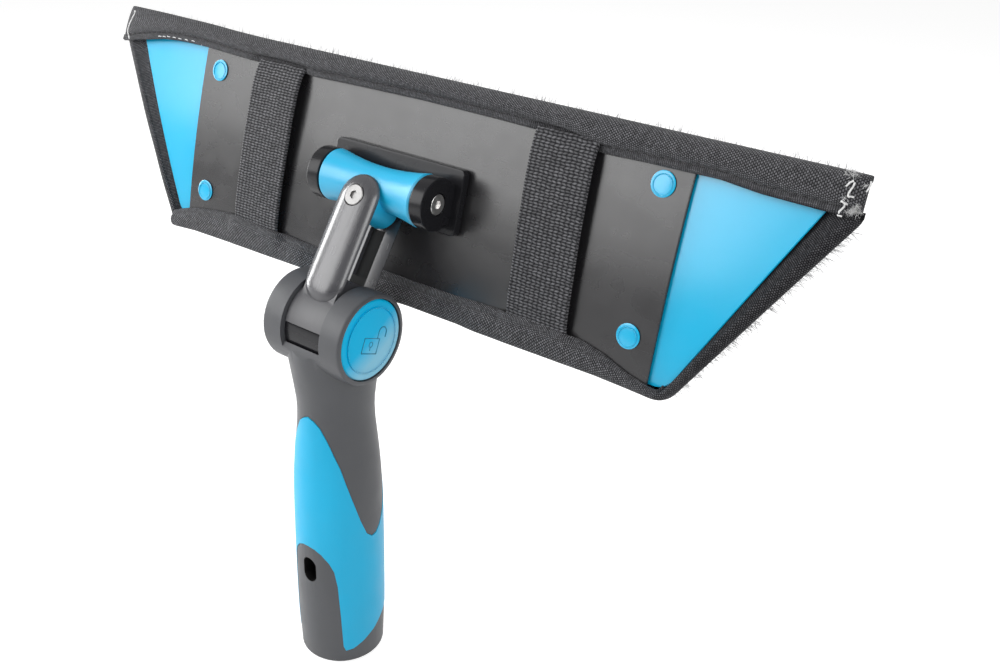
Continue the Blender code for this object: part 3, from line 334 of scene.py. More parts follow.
# The streaks' size in metres, drawn out along the arm, and the plate's smears and scratches
STREAK = 0.0016
SMEAR = 0.020
SCRATCH = 0.0007
SCUFF_GREY = (0.09, 0.09, 0.09, 1)


def drawn_streaks(tree, place, gloss):
    """Lengthwise streaks for the fork's arms, and a rougher drum."""
    lean = node(tree, "Mapping", {"Vector": place, "Rotation": (ARM_LEAN, 0, 0)}).outputs[0]
    streaks = speckle(tree, lean, STREAK, detail=3.0, stretch=(1, 1, 0.05))
    gloss = maths(tree, "ADD", gloss, spread(tree, streaks, 0.25, 0.75, -0.02, 0.03))
    beside = vectors(tree, "MULTIPLY", vectors(tree, "SUBTRACT", place, KNUCKLE), (0, 1, 1))
    radius = node(tree, "VectorMath", {0: beside}, operation="LENGTH").outputs["Value"]
    rougher = spread(tree, radius, DRUM_RADIUS, DRUM_RADIUS + DRUM_FADE, DRUM_ROUGHER, 0.0)
    return maths(tree, "ADD", gloss, rougher)


def rub_marks(tree, place, paint, gloss):
    """Faint scuffs and smears, for the backing plate."""
    smears = speckle(tree, place, SMEAR, detail=1.5, stretch=(0.5, 1, 1.6))
    scratches = speckle(tree, place, SCRATCH, stretch=(0.04, 1, 1))
    marks = spread(tree, scratches, 0.66, 0.78, 0.0, 1.0)
    gloss = maths(tree, "ADD", gloss, spread(tree, smears, 0.2, 0.8, -0.03, 0.04))
    gloss = maths(tree, "ADD", gloss, maths(tree, "MULTIPLY", marks, 0.03))
    return blend_colours(tree, maths(tree, "MULTIPLY", marks, 0.05), paint, SCUFF_GREY), gloss


print("streaks and scuffs are ready")

# %% [markdown]
# ### Painted shade and a painted reflection, each in one place
# The rear arm's coring and the click hole in the grip are painted near black, as the shade deep
# inside them, and the button's face is painted paler towards its lower right, as a reflection.
# Each is a region in the piece's own coordinates: a few comparisons, multiplied together, give 1
# inside and 0 outside.

# %% The cored arm, the click hole and the button's face
# The rear arm's coring, painted near black as the shade inside it, in the arm's own lean: half
# width, middle and half depth, and the height where it ends
CORED = (0.0038, 0.0046, 0.0013, 0.0405)
# Painted shade: the near black that stands in for the shadow inside the coring
CORE_PAINTED_SHADE = (0.002, 0.002, 0.002, 1)
CORE_ROUGHER = 0.74
# The click hole: its height, radius, half straight length and the depth that is dark, with a margin
CLICK_HOLE = (-0.0301, 0.0034, 0.0024, 0.0128)
HOLE_MARGIN = 0.00015
HOLE_BLACK = (0.001, 0.001, 0.001, 1)
# Where a painted reflection turns the button's face paler: the direction, and the distances where
# that starts and ends
REFLECTION_SLANT = (0, 0.49, -0.87)
REFLECTION_REACH = (-0.0670, -0.0580)
REFLECTION_BLUE = (0.24, 0.57, 0.75, 1)


def within(tree, value, middle, half):
    """1 where a value is less than half away from a middle."""
    return maths(tree, "LESS_THAN", maths(tree, "ABSOLUTE", maths(tree, "SUBTRACT", value, middle)), half)


def arm_streaks_and_core_shade(tree, place, paint, gloss):
    """The fork's streaks, and painted shade inside the coring of its rear arm."""
    half_width, middle, half_depth, top = CORED
    from_axis = vectors(tree, "SUBTRACT", place, KNUCKLE)
    leaned = node(tree, "Mapping", {"Vector": from_axis, "Rotation": (ARM_LEAN, 0, 0)}).outputs[0]
    sideways, inward, upward = parts_of(tree, leaned)
    # 1 inside the coring, where shade is painted
    core_shade = product(tree, within(tree, sideways, 0.0, half_width), within(tree, inward, middle, half_depth),
                    maths(tree, "LESS_THAN", upward, top))
    rougher = maths(tree, "MULTIPLY", core_shade, CORE_ROUGHER)
    gloss = maths(tree, "ADD", drawn_streaks(tree, place, gloss), rougher)
    return blend_colours(tree, core_shade, paint, CORE_PAINTED_SHADE), gloss


def dark_hole(tree, place, paint, gloss):
    """Near black inside the click hole, as its shadow hides the socket."""
    height, radius, straight, depth = CLICK_HOLE
    across, forward, up = parts_of(tree, place)
    rise = maths(tree, "ABSOLUTE", maths(tree, "SUBTRACT", up, height))
    rise = maths(tree, "MAXIMUM", maths(tree, "SUBTRACT", rise, straight), 0.0)
    reach = maths(tree, "SQRT", maths(tree, "ADD", product(tree, rise, rise), product(tree, across, across)))
    inside = product(tree, maths(tree, "LESS_THAN", reach, radius + HOLE_MARGIN),
                     maths(tree, "LESS_THAN", forward, depth))
    return blend_colours(tree, inside, paint, HOLE_BLACK), gloss


def face_with_painted_reflection(tree, place, paint, gloss):
    """A painted reflection that turns the lower right half of the button's face paler."""
    slant = vectors(tree, "DOT_PRODUCT", place, REFLECTION_SLANT, "Value")
    return blend_colours(tree, spread(tree, slant, *REFLECTION_REACH, 0.0, 1.0), paint, REFLECTION_BLUE), gloss


print("marks of single places are ready")

# %% [markdown]
# ### The plastics themselves
# The grip is soft-touch grey with a satin blue inlay. The tee, the wings, the rivets and the button
# are the same blue in different glosses. The fork is polished dark grey, the bracket is black, and
# the plate is a near black that still mirrors the room.

# %% Mix the plastics
# Each call gives a colour and its drift, the roughness, the grain's size and the relief's depth
SOFT_GREY = moulded("soft_touch_grey", (0.059, 0.061, 0.067), 0.05, 0.48, 0.0005, 0.00002,
                    extra=dark_hole)
GRIP_BLUE = moulded("grip_blue", (0.0, 0.405, 0.680), 0.04, 0.44, 0.0006, 0.00002,
                    Specular_IOR_Level=0.45)
GLOSS_BLUE = moulded("moulded_blue", (0.0, 0.410, 0.680), 0.03, 0.22, 0.0012, 0.000004,
                     Specular_IOR_Level=0.75)
BARREL_BLUE = moulded("barrel_blue", (0.0, 0.400, 0.670), 0.03, 0.40, 0.0010, 0.000006,
                      Specular_IOR_Level=0.95)
# The button's face carries a painted reflection, paler towards its lower right
BUTTON_BLUE = moulded("button_blue", (0.0, 0.455, 0.770), 0.03, 0.30, 0.0006, 0.000006,
                      extra=face_with_painted_reflection, Specular_IOR_Level=0.15)
# The padlock's raised lines are painted a darker blue, as the shade along them
SIGN_SHADE_BLUE = moulded("sign_painted_shade", (0.0, 0.20, 0.34), 0.03, 0.40, 0.0006, 0.000006)
GLOSS_GREY = moulded("polished_grey", (0.046, 0.046, 0.052), 0.08, 0.26, 0.0015, 0.000006,
                     extra=arm_streaks_and_core_shade, Specular_IOR_Level=0.95)
GLOSS_BLACK = moulded("moulded_black", (0.012, 0.012, 0.014), 0.10, 0.26, 0.0008, 0.000006,
                      Specular_IOR_Level=0.25)
PLATE_BLACK = moulded("plate_black", (0.014, 0.0135, 0.015), 0.10, 0.27, 0.0006, 0.000004,
                      extra=rub_marks, Specular_IOR_Level=0.7)
ACETAL = moulded("acetal", (0.68, 0.67, 0.62), 0.04, 0.42, 0.0010, 0.00001)
dress(ACETAL, "left_pivot_bush", "right_pivot_bush", "front_washer", "rear_washer", "swivel_bush")
print("plastics are mixed")

# %% [markdown]
# ## Stainless steel
# Turned steel is a metal, so its colour lives in its reflection. Lathe marks are fine rings, which
# a noise that varies quickly over a few hundredths of a millimetre suggests well at this scale.

# %% Turned steel for the screws, the axle and the shaft
LATHE_MARK = 0.00025
TARNISH = 0.004
STEEL_RELIEF = 0.000006


def turned_steel(name, low, high):
    """Bare turned steel between two shades."""
    material, tree, shader = start_finish(name, Metallic=1.0)
    place = object_place(tree)
    marks = speckle(tree, place, LATHE_MARK)
    tarnish = speckle(tree, place, TARNISH, detail=3.0)
    fill(tree, shader.inputs["Base Color"], blend_colours(tree, tarnish, (*low, 1), (*high, 1)))
    fill(tree, shader.inputs["Roughness"], spread(tree, marks, 0.3, 0.7, 0.32, 0.46))
    bump(tree, shader, marks, STEEL_RELIEF)
    return material


# A shaded copy of the steel, painted darker than steel is to hold down its highlights, and a lit copy
# painted paler for the axle screws
SHADED_STEEL = turned_steel("turned_steel", (0.17, 0.168, 0.165), (0.27, 0.267, 0.265))
LIT_STEEL = turned_steel("lit_steel", (0.62, 0.61, 0.60), (0.86, 0.85, 0.84))
dress(SHADED_STEEL, "lock_shaft", "swivel_screw", "swivel_nut", "barrel_axle",
      "bottom_left_bracket_screw", "top_left_bracket_screw", "bottom_right_bracket_screw",
      "top_right_bracket_screw")
dress(LIT_STEEL, "left_axle_screw", "right_axle_screw")
print("steel is dressed")

# %% [markdown]
# ## Rounding the facets away
# The engineering meshes are cut into flat facets, which a polished surface shows at once. Each big
# moulding gets a copy with its corners welded and its faces shaded as one, but for edges sharper
# than thirty-odd degrees. Shading that is weighted by face area keeps the flat faces flat.

# %% Smoothly shaded copies of the mouldings
WELD = 0.000002
CREASE = math.radians(34)
# How strongly the bigger faces steer the shading
FLATNESS = 90


def smooth_copy(name, material, body, slot):
    """Stand a welded, smoothly shaded copy in for an engineering piece."""
    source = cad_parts[name]
    shape = bmesh.new()
    shape.from_mesh(source.data)
    bmesh.ops.transform(shape, matrix=source.matrix_world, verts=shape.verts)
    bmesh.ops.remove_doubles(shape, verts=shape.verts, dist=WELD)
    mesh = bpy.data.meshes.new(name + "_moulding")
    shape.to_mesh(mesh)
    shape.free()
    mesh.attributes.remove(mesh.attributes["custom_normal"])
    mesh.materials.clear()
    mesh.materials.append(material)
    mesh.shade_smooth()
    mesh.set_sharp_from_angle(angle=CREASE)
    piece = bpy.data.objects.new(name + "_moulding", mesh)
    bpy.context.scene.collection.objects.link(piece)
    weighted = piece.modifiers.new("flat stays flat", "WEIGHTED_NORMAL")
    weighted.keep_sharp = True
    weighted.weight = FLATNESS
    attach(piece, body)
    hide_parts(name)


RIVETS = ("top_left_rivet", "bottom_left_rivet", "top_right_rivet", "bottom_right_rivet")
# Each row is a finish, the body it rides on, its slot and the pieces
MOULDINGS = (
    (SOFT_GREY, "handle", "soft_grey", ("handle_body",)),
    (GRIP_BLUE, "handle", "blue_rubber", ("grip_inlay",)),
    (BUTTON_BLUE, "lock", "blue_plastic", ("unlock_button", "lock_button")),
    (GLOSS_GREY, "fork", "gloss_grey", ("fork_body",)),
    (GLOSS_BLACK, "fork", "gloss_black", ("index_drum",)),
    (BARREL_BLUE, "tee", "blue_plastic", ("swivel_tee",)),
    (GLOSS_BLACK, "head", "gloss_black", ("mount_bracket",)),
    (PLATE_BLACK, "head", "satin_black", ("backing_plate",)),
    (GLOSS_BLUE, "head", "blue_plastic", ("left_wing", "right_wing", *RIVETS)))
for material, body, slot, names in MOULDINGS:
    dress(material, *names)
    for name in names:
        smooth_copy(name, material, body, slot)
print("smooth mouldings:", sum(len(names) for *_, names in MOULDINGS))

# %% [markdown]
# ## The pad's own frame
# The pad leans on the swivel, so its pieces are easiest to shape in their own frame: x runs right
# along the pad, z runs up it, and y runs into it, from the handle towards the glass. One matrix
# takes a finished mesh from there to the tool's frame. The sizes repeat the engineering model's.

# %% Sizes of the pad, and the way from its frame to the tool's
PAD_FRAME = Matrix.Translation((0, 0.0265545, 0.1237101)) @ Matrix.Rotation(math.radians(-14.7), 4, "X")
PAD_TOP_HALF = 175.0 * MM
PAD_BOTTOM_HALF = 126.5 * MM
PAD_HALF_HEIGHT = 43.5 * MM
SLANT_TOP = 31.7 * MM
PLATE_FRONT = 11.6 * MM
PLATE_BOW = 1.5 * MM
PLATE_HALF_HEIGHT = 41.0 * MM
WING_STEP = 1.7 * MM
WING_THICKNESS = 1.4 * MM
PAD_BACK = 23.2 * MM
CLOTH = 0.9 * MM


def plate_front(z):
    """The bowed plate's front face at a height on the pad."""
    return PLATE_FRONT + PLATE_BOW * (z / PLATE_HALF_HEIGHT) ** 2


def clamped(value):
    """A value kept between 0 and 1."""
    return min(1, max(0, value))


def climb(z):
    """How far up the slanted ends a height is, from 0 to 1."""
    return clamped((z + PAD_HALF_HEIGHT) / (SLANT_TOP + PAD_HALF_HEIGHT))


def half_length(z):
    """Half the pad's length at a height on the pad."""
    return PAD_BOTTOM_HALF + (PAD_TOP_HALF - PAD_BOTTOM_HALF) * climb(z)


def table(rows, value):
    """Read a value between the rows of a table with straight steps."""
    for (low, first), (high, second) in zip(rows, rows[1:]):
        if value <= high:
            return first + (second - first) * max(0, value - low) / (high - low)
    return rows[-1][1]


def finished(name, shape, material, body, matrix=PAD_FRAME):
    """Make a bmesh into a smooth piece in the tool's frame, with its finish, riding on a body."""
    mesh = bpy.data.meshes.new(name)
    shape.to_mesh(mesh)
    shape.free()
    mesh.transform(matrix)
    mesh.materials.append(material)
    mesh.shade_smooth()
    piece = bpy.data.objects.new(name, mesh)
    bpy.context.scene.collection.objects.link(piece)
    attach(piece, body)
    return piece


def bent_sheet(columns, rows, place, size):
    """A grid of cells bent to place(u, v), with its UV map in metres over a flat size."""
    shape = bmesh.new()
    bmesh.ops.create_grid(shape, x_segments=columns, y_segments=rows, size=1)
    layer = shape.loops.layers.uv.new("weave")
    for face in shape.faces:
        for loop in face.loops:
            flat = loop.vert.co
            loop[layer].uv = ((flat.x + 1) / 2 * size[0], (flat.y + 1) / 2 * size[1])
    for vertex in shape.verts:
        vertex.co = place((vertex.co.x + 1) / 2, (vertex.co.y + 1) / 2)
    return shape


def round_off(piece):
    """Round a piece by one subdivision."""
    rounding = piece.modifiers.new("rounding", "SUBSURF")
    rounding.levels = rounding.render_levels = 1


def thicken(piece, thickness):
    """Give a sheet its thickness, all of it on one side, and round it."""
    wall = piece.modifiers.new("thickness", "SOLIDIFY")
    wall.thickness = thickness
    wall.offset = -1
    round_off(piece)


print("pad half length at mid height:", round(half_length(0), 4))

# %% [markdown]
# ## Woven nylon
# The hems are a heavy ribbed nylon binding. Its ribs run across the band, and each rib is a row of
# small beads where the weft passes over it. Sine waves on the piece's UV map, whose unit is a metre,
# draw that, with every other rib shifted by half a bead. In the elastic straps the ribs
# run sideways and their long beads lean left and right by turns, which gives a faint herringbone.
# Wear and lint make some threads paler than others, which keeps cloth from looking printed.

# %% A recipe for woven bands
# The hems are painted darker, as shade, from here to there along the pad towards its right end,
# most of all on the rows of the strip that are tucked in, up to these distances across it
SHADED_FROM = (0.118, 0.136)
TUCKED_REACH = (0.0050, 0.0080)
TUCKED_SHADE = 0.9
# How far the ribs wander, in ribs, over blotches of this size
WANDER = 0.9
WANDER_SIZE = 0.004
FUZZ_SIZE = 0.0012
SPECULAR = 0.32
SHEEN = 0.10
# The share of gloss and sheen that is left down between the threads
SHELTERED = 0.35


def bead_pattern(tree, place, flat, rib, bead, lean, groove, fullness, ribs_on):
    """The weave's height from 0 to 1, and a number pair that is the same all over one bead."""
    wander = product(tree, maths(tree, "SUBTRACT", speckle(tree, place, WANDER_SIZE), 0.5), WANDER)
    across = maths(tree, "ADD", maths(tree, "DIVIDE", flat[ribs_on], rib), wander)
    along = maths(tree, "DIVIDE", flat[1 - ribs_on], bead)
    row = maths(tree, "FLOOR", across)
    odd = maths(tree, "MODULO", row, 2.0)
    inside = maths(tree, "FRACT", across)
    flip = maths(tree, "SUBTRACT", 1.0, maths(tree, "MULTIPLY", odd, 2.0))
    shift = maths(tree, "ADD", maths(tree, "MULTIPLY", odd, 0.5), product(tree, inside, lean, flip))
    shifted = maths(tree, "ADD", along, shift)
    rib_wave = spread(tree, maths(tree, "SINE", maths(tree, "MULTIPLY", inside, math.pi)), 0.0, 1.0,
                      1.0 - groove, 1.0)
    bead_wave = maths(tree, "ABSOLUTE", maths(tree, "SINE", maths(tree, "MULTIPLY", shifted, math.pi)))
    height = maths(tree, "MULTIPLY", rib_wave, maths(tree, "POWER", bead_wave, fullness))
    thread = node(tree, "CombineXYZ", {0: row, 1: maths(tree, "FLOOR", shifted)}).outputs[0]
    return height, thread


def woven(name, dark, pale, rib, bead, depth, lean=0.0, groove=1.0, fullness=1.0, ribs_on=0,
          right_share=1.0):
    """A weave of ribs and beads, their pitches in metres, with the ribs on one axis of the UV map.

    Lean slants the beads, groove is how far a rib's sides sink, and fullness below 1 fattens beads.
    Right share is how bright the weave stays at the pad's right end, where shade is painted darkest on its
    inner lip."""
    material, tree, shader = start_finish(name, Sheen_Roughness=0.5)
    flat = parts_of(tree, node(tree, "UVMap").outputs[0])
    place = object_place(tree)
    height, thread = bead_pattern(tree, place, flat, rib, bead, lean, groove, fullness, ribs_on)
    worn = spread(tree, node(tree, "TexWhiteNoise", {"Vector": thread}).outputs[0], 0.0, 1.0, 0.65, 1.15)
    fuzz = spread(tree, speckle(tree, place, FUZZ_SIZE, detail=3.0), 0.35, 0.65, 0.65, 1.2)
    # Painted shade: darker towards the pad's right end, most of all on the tucked-in rows
    end_shade = spread(tree, parts_of(tree, place)[0], *SHADED_FROM, 0.0, 1.0)
    inner_shade = maths(tree, "MAXIMUM", 1.0 - right_share,
                   spread(tree, flat[1], *TUCKED_REACH, TUCKED_SHADE, 0.0))
    lit = maths(tree, "SUBTRACT", 1.0, maths(tree, "MULTIPLY", end_shade, inner_shade))
    # The colour follows the threads' height: grooves are painted near black and crowns paler, as painted
    # shade and light on one dark cloth, while worn threads and lint are the cloth's own variation
    shade = product(tree, maths(tree, "POWER", height, 1.3), fuzz, worn, lit)
    sheltered = maths(tree, "MULTIPLY", lit, spread(tree, height, 0.0, 1.0, SHELTERED, 1.0))
    fill(tree, shader.inputs["Specular IOR Level"], maths(tree, "MULTIPLY", sheltered, SPECULAR))
    fill(tree, shader.inputs["Sheen Weight"], maths(tree, "MULTIPLY", sheltered, SHEEN))
    fill(tree, shader.inputs["Base Color"], blend_colours(tree, shade, (*dark, 1), (*pale, 1)))
    fill(tree, shader.inputs["Roughness"], spread(tree, height, 0.0, 1.0, 0.9, 0.6))
    bump(tree, shader, height, depth)
    return material


print("the weaving recipe is ready")

# %% Ribbed nylon for the hems and woven elastic for the straps
HEM_NYLON = woven("ribbed_nylon", (0.005, 0.005, 0.006), (0.170, 0.170, 0.183),
                  rib=0.00070, bead=0.00078, depth=0.00018, groove=0.9)
# The edge strip's right end is painted much darker, as the shade under the wing's edge
EDGE_NYLON = woven("edge_nylon", (0.003, 0.003, 0.004), (0.200, 0.200, 0.213),
                   rib=0.00070, bead=0.00078, depth=0.00018, groove=0.95, right_share=0.45)
STRAP_ELASTIC = woven("woven_elastic", (0.005, 0.005, 0.006), (0.135, 0.135, 0.145),
                      rib=0.00112, bead=0.00200, depth=0.00020, lean=0.5, fullness=0.5, ribs_on=1)
print("woven finishes are ready")

# %% [markdown]
# ## The top hem
# The hem is one strip of binding folded over the pad's top edge: it starts hooked under its own lip
# on the plate, swells over the padding, turns over the top and ends behind. A grid whose second
# direction follows that section is the natural way to make it, because the weave then follows the
# fold. Its ends are pinched shut, as the real one is sewn shut.

# %% Fold the top hem from one strip
STRAP_CENTRE = 71.7 * MM
STRAP_WIDTH = 26.2 * MM
STRAP_LEAN = 0.04
# Each row is y, z and how far the hem is pressed back there under a strap, in millimetres
TOP_SECTION = (
    (12.3, 34.6, 0.3), (12.3, 33.2, 0.3), (11.9, 32.3, 0.5), (11.1, 32.0, 0.9), (10.5, 32.5, 1.1),
    (10.2, 33.6, 1.2), (10.25, 34.4, 1.2), (10.7, 34.9, 0.8), (9.7, 35.2, 0.0), (9.1, 36.4, 0.0),
    (8.8, 38.2, 0.0), (9.2, 40.4, 0.0), (10.6, 42.3, 0.0), (13.0, 43.5, 0.0), (16.2, 43.8, 0.0),
    (19.6, 43.6, 0.0), (22.2, 43.0, 0.0), (23.2, 41.6, 0.0))
# The hem follows its lower edge up or down below a height, fully so near its lower fold, and only
# over the front part of the section
SECTION_EDGE = 32.0
SECTION_FIXED = 42.5
SECTION_FREE = 3.0
FRONT_SHARE = 0.8
RIDGE = max(row[1] for row in TOP_SECTION)
TOP_HEM_END = 173.9 * MM
# The hem's ends are pinched together over this reach, by this share, and sewn shut
PINCH_REACH = 11.0 * MM
PINCH = 0.78
# The last bit of the strip folds in to cap the end: its length and how far it closes each way
CAP_FOLD = 2.0 * MM
CAP_PINCH = 0.96
CAP_DROP = 0.05
# The left end flares outwards below this height: from and by how much, over what height
FLARE_HEIGHT = 44.0
FLARE_OVER = 15.0
FLARE = (0.6 * MM, 3.6 * MM)
END_SEAM_DEPTH = 14.0
END_SEAM_HEIGHT = 38.0
HEM_ROWS = 51
HEM_COLUMNS = 176
# The hem's lower edge sags and rises along the pad: x and z, in millimetres
TOP_EDGE = (
    (-176, 28.4), (-166.5, 29.4), (-159.9, 30.9), (-144.3, 33.6), (-132.5, 34.5), (-117, 34.7),
    (-101.8, 34.3), (-87.5, 33.8), (-72, 34.1), (-60, 33.8), (-52, 33.3), (-37, 33.7), (-22, 34.0),
    (3, 34.4), (40, 34.1), (68, 33.6), (84, 31.2), (101, 31.8), (118, 32.0), (128, 32.2),
    (142, 30.9), (165, 30.4), (176, 29.8))
# How much the hem's ridge rises towards the left end: x, then millimetres
TOP_RISE = ((-176, 1.3), (-150, 1.2), (-125, 0.9), (-108, 0.3), (-90, 0.0), (176, 0.0))
# The cloth's unevenness: how quickly it changes along the pad, and its height in millimetres
RIPPLE_PITCH = 45
RIPPLE = 0.30
# A strap presses on the hem this far past its sides, and less over the last bit
PRESS_MARGIN = 3.5 * MM
PRESS_FADE = 3.0 * MM


def near_strap(x, z):
    """1 over a strap, falling to 0 beside it."""
    aside = abs(abs(x) - (STRAP_CENTRE - STRAP_LEAN * z))
    share = clamped((STRAP_WIDTH / 2 + PRESS_MARGIN - aside) / PRESS_FADE)
    return share * share * (3 - 2 * share)


def section_length(section):
    """The length of a section's line, in metres."""
    return sum(math.dist(first[:2], second[:2]) for first, second in zip(section, section[1:])) * MM


def along_section(section, share):
    """The row of numbers at a share of a section, counted in rows."""
    place = share * (len(section) - 1)
    index = min(int(place), len(section) - 2)
    rest = place - index
    return [first + (second - first) * rest for first, second in zip(section[index], section[index + 1])]


def top_hem_point(x, v):
    """A point of the hem's skin in millimetres, at x along the pad and a share v of the section."""
    y, z, press = along_section(TOP_SECTION, v)
    if z < SECTION_FIXED and v < FRONT_SHARE:
        hang = min(1, (SECTION_FIXED - z) / (SECTION_FIXED - SECTION_EDGE - SECTION_FREE))
        z += (table(TOP_EDGE, x / MM) - SECTION_EDGE) * hang
    z += table(TOP_RISE, x / MM) * clamped((z - SECTION_EDGE) / (RIDGE - SECTION_EDGE))
    y += press * near_strap(x, SLANT_TOP)
    y += noise.noise((x * RIPPLE_PITCH, v * 2, 3)) * RIPPLE * math.sin(math.pi * min(1, v * 1.2))
    return y, z


def hem_end(side, z):
    """Where the hem ends at a height; the left end flares outwards below."""
    flare = FLARE[0] + FLARE[1] * clamped((FLARE_HEIGHT - z) / FLARE_OVER) if side < 0 else 0
    return TOP_HEM_END + flare


def top_hem_place(u, v):
    """Where a point of the flat strip goes on the folded hem."""
    along = (2 * u - 1) * (TOP_HEM_END + CAP_FOLD)
    folded = max(0, abs(along) - TOP_HEM_END) / CAP_FOLD
    share = min(1, abs(along) / TOP_HEM_END)
    y, z = top_hem_point(math.copysign(share * TOP_HEM_END, along), v)
    x = math.copysign(share * hem_end(along, z), along)
    pinch = clamped((share * TOP_HEM_END - (TOP_HEM_END - PINCH_REACH)) / PINCH_REACH)
    keep = (1 - PINCH * pinch ** 2) * (1 - CAP_PINCH * folded)
    y = END_SEAM_DEPTH + (y - END_SEAM_DEPTH) * keep
    z = END_SEAM_HEIGHT + (z - END_SEAM_HEIGHT) * (1 - CAP_DROP * folded)
    return Vector((x, y * MM, z * MM))


hem_size = (2 * (TOP_HEM_END + CAP_FOLD), section_length(TOP_SECTION))
shape = bent_sheet(HEM_COLUMNS, HEM_ROWS, top_hem_place, hem_size)
top_hem = finished("top_hem_binding", shape, HEM_NYLON, "head")
thicken(top_hem, CLOTH)
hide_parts("top_hem")
print("top hem strip:", [round(side, 4) for side in hem_size])

# %% [markdown]
# ## The hem round the bottom and the two ends
# One strip runs down the left end, along the bottom and up the right end. Its path is the pad's
# outline with rounded corners. At each step the strip is a small section square to the path: a lip
# on the front, a wall over the edge and a turn at the back. The lip is wide along the bottom and
# narrow at the corners, and on the slanted ends it lies lower than the wing, which stands over it.

# %% Walk round the pad's outline
SLANT_END = (173.6 * MM, 30.2 * MM)
PATH_END = (168.0 * MM, 38.0 * MM)
PATH_STEPS = 300
CORNER_STEPS = 9
# A corner's curve takes at most this share of the run before it
CORNER_SHARE = 0.9
# The bottom corners: x, z and the radius they turn with, for the left and the right one
LEFT_CORNER = (-128.2 * MM, -46.4 * MM, 1.6 * MM)
RIGHT_CORNER = (126.2 * MM, -44.3 * MM, 7.0 * MM)
# The bottom edge between them: x and z in millimetres
BOTTOM_EDGE = ((-113, -45.1), (-88, -44.6), (-48, -44.0), (53, -43.6), (100, -43.2))


def turned_corner(before, corner, after, radius):
    """Points round a corner between two straight runs."""
    first = (before - corner).normalized()
    second = (after - corner).normalized()
    half = math.acos(max(-1, min(1, first.dot(second)))) / 2
    back_off = min(radius / math.tan(half), (before - corner).length * CORNER_SHARE)
    start = corner + first * back_off
    end = corner + second * back_off
    points = []
    for step in range(CORNER_STEPS + 1):
        share = step / CORNER_STEPS
        points.append(start * (1 - share) ** 2 + corner * (2 * share * (1 - share)) + end * share ** 2)
    return points


def outline_path():
    """Points round the outline, down the left end, along the bottom and up the right end."""
    right_slant, right_top = Vector(SLANT_END), Vector(PATH_END)
    left_slant = Vector((-right_slant.x, right_slant.y))
    left_top = Vector((-right_top.x, right_top.y))
    bottom = [Vector((x * MM, z * MM)) for x, z in BOTTOM_EDGE]
    left_corner = turned_corner(left_slant, Vector(LEFT_CORNER[:2]), bottom[0], LEFT_CORNER[2])
    right_corner = turned_corner(bottom[-1], Vector(RIGHT_CORNER[:2]), right_slant, RIGHT_CORNER[2])
    return [left_top, left_slant, *left_corner, *bottom, *right_corner, right_slant, right_top]


def walk(points, share):
    """The point at a share of the path's length, and the direction of travel there."""
    lengths = [(second - first).length for first, second in zip(points, points[1:])]
    left = share * sum(lengths)
    for (first, second), length in zip(zip(points, points[1:]), lengths):
        if left <= length:
            break
        left -= length
    return first + (second - first) * min(1, left / length), (second - first).normalized()


PATH = outline_path()
PATH_LENGTH = sum((second - first).length for first, second in zip(PATH, PATH[1:]))
print("path round the pad:", round(PATH_LENGTH, 4))

# %% [markdown]
# ### The strip's section
# The section is a table of rows for the lip, in two versions: one for the bottom edge, where a strap
# may lift it, and one for the slanted ends, where it lies beside a wing. The strip blends from one
# to the other as its path turns, and the rows of the wall over the edge are the same for both.

# %% Lay the strip along the outline
# The lip's width along the bottom: x and width in millimetres
LIP_WIDTH = ((-129, 5.6), (-127, 5.9), (-115, 8.6), (-102, 10.5), (-82, 12.0), (-64, 10.8), (-46, 9.5),
             (12, 9.4), (52, 9.9), (67, 10.7), (85, 10.1), (93, 8.9), (100, 7.2), (106, 5.2),
             (112, 3.5), (120, 2.2), (128, 2.0))
# The strip's width beside a wing, at the bottom corner and at the top
END_WIDTH = (3.0, 9.2)
# The lip's rows: inward share, a further inward step, y over the plate and the lift over a strap
LIP_ROWS = (
    (0.72, 0.0, 0.0, 2.7), (0.96, 0.0, -0.1, 2.7), (1.0, 0.0, -0.6, 2.4), (1.0, -0.25, -1.2, 2.1),
    (1.0, -0.8, -1.5, 1.9), (1.0, -1.5, -1.6, 1.8), (1.0, -1.8, -1.3, 1.8), (1.0, -2.3, -1.8, 1.5),
    (0.64, 0.0, -2.4, 1.0), (0.44, 0.0, -2.6, 0.5), (0.22, 0.0, -2.2, 0.2))
# The same rows beside a wing: inward share, a further inward step, and y over the wing's back
END_ROWS = (
    (1.0, 3.0, 0.7), (1.0, 2.0, 0.65), (1.0, 1.0, 0.6), (1.0, 0.0, 0.4), (0.86, 0.0, 0.0),
    (0.72, 0.0, -0.5), (0.58, 0.0, -1.1), (0.46, 0.0, -1.6), (0.36, 0.0, -2.1), (0.0, 2.3, -2.7),
    (0.0, 1.3, -2.7))
# Rows for the wall over the edge: inward distance and a share from the lip's y to the pad's back
WALL_ROWS = ((0.4, 0.05), (0.0, 0.16), (0.3, 0.34), (1.2, 0.60), (2.3, 0.84), (3.4, 0.98), (4.8, 1.0))
BAND_ROWS = 36
BAND_WIDTH = 24.0 * MM
# A lip narrower than this, in millimetres, loses height and the steps of its rows
FULL_LIP = 6.0
THIN_LIP = 0.4
# The path counts as a slanted end by how steeply it runs: the steepness and share, then a power
END_STEEP = 0.75
END_LATE = 0.1
END_POWER = 1.5
BAND_RIPPLE = 0.22
BAND_RIPPLE_PITCH = 26
WING_BACK = WING_STEP + WING_THICKNESS
# Where the lower lip lies flatter, so that the handle's knuckle clears it: x, then the share lost
FLATTENED = ((0, 0.2), (5, 0.3), (12, 0.80), (37, 0.80), (46, 0.0), (200, 0.0))


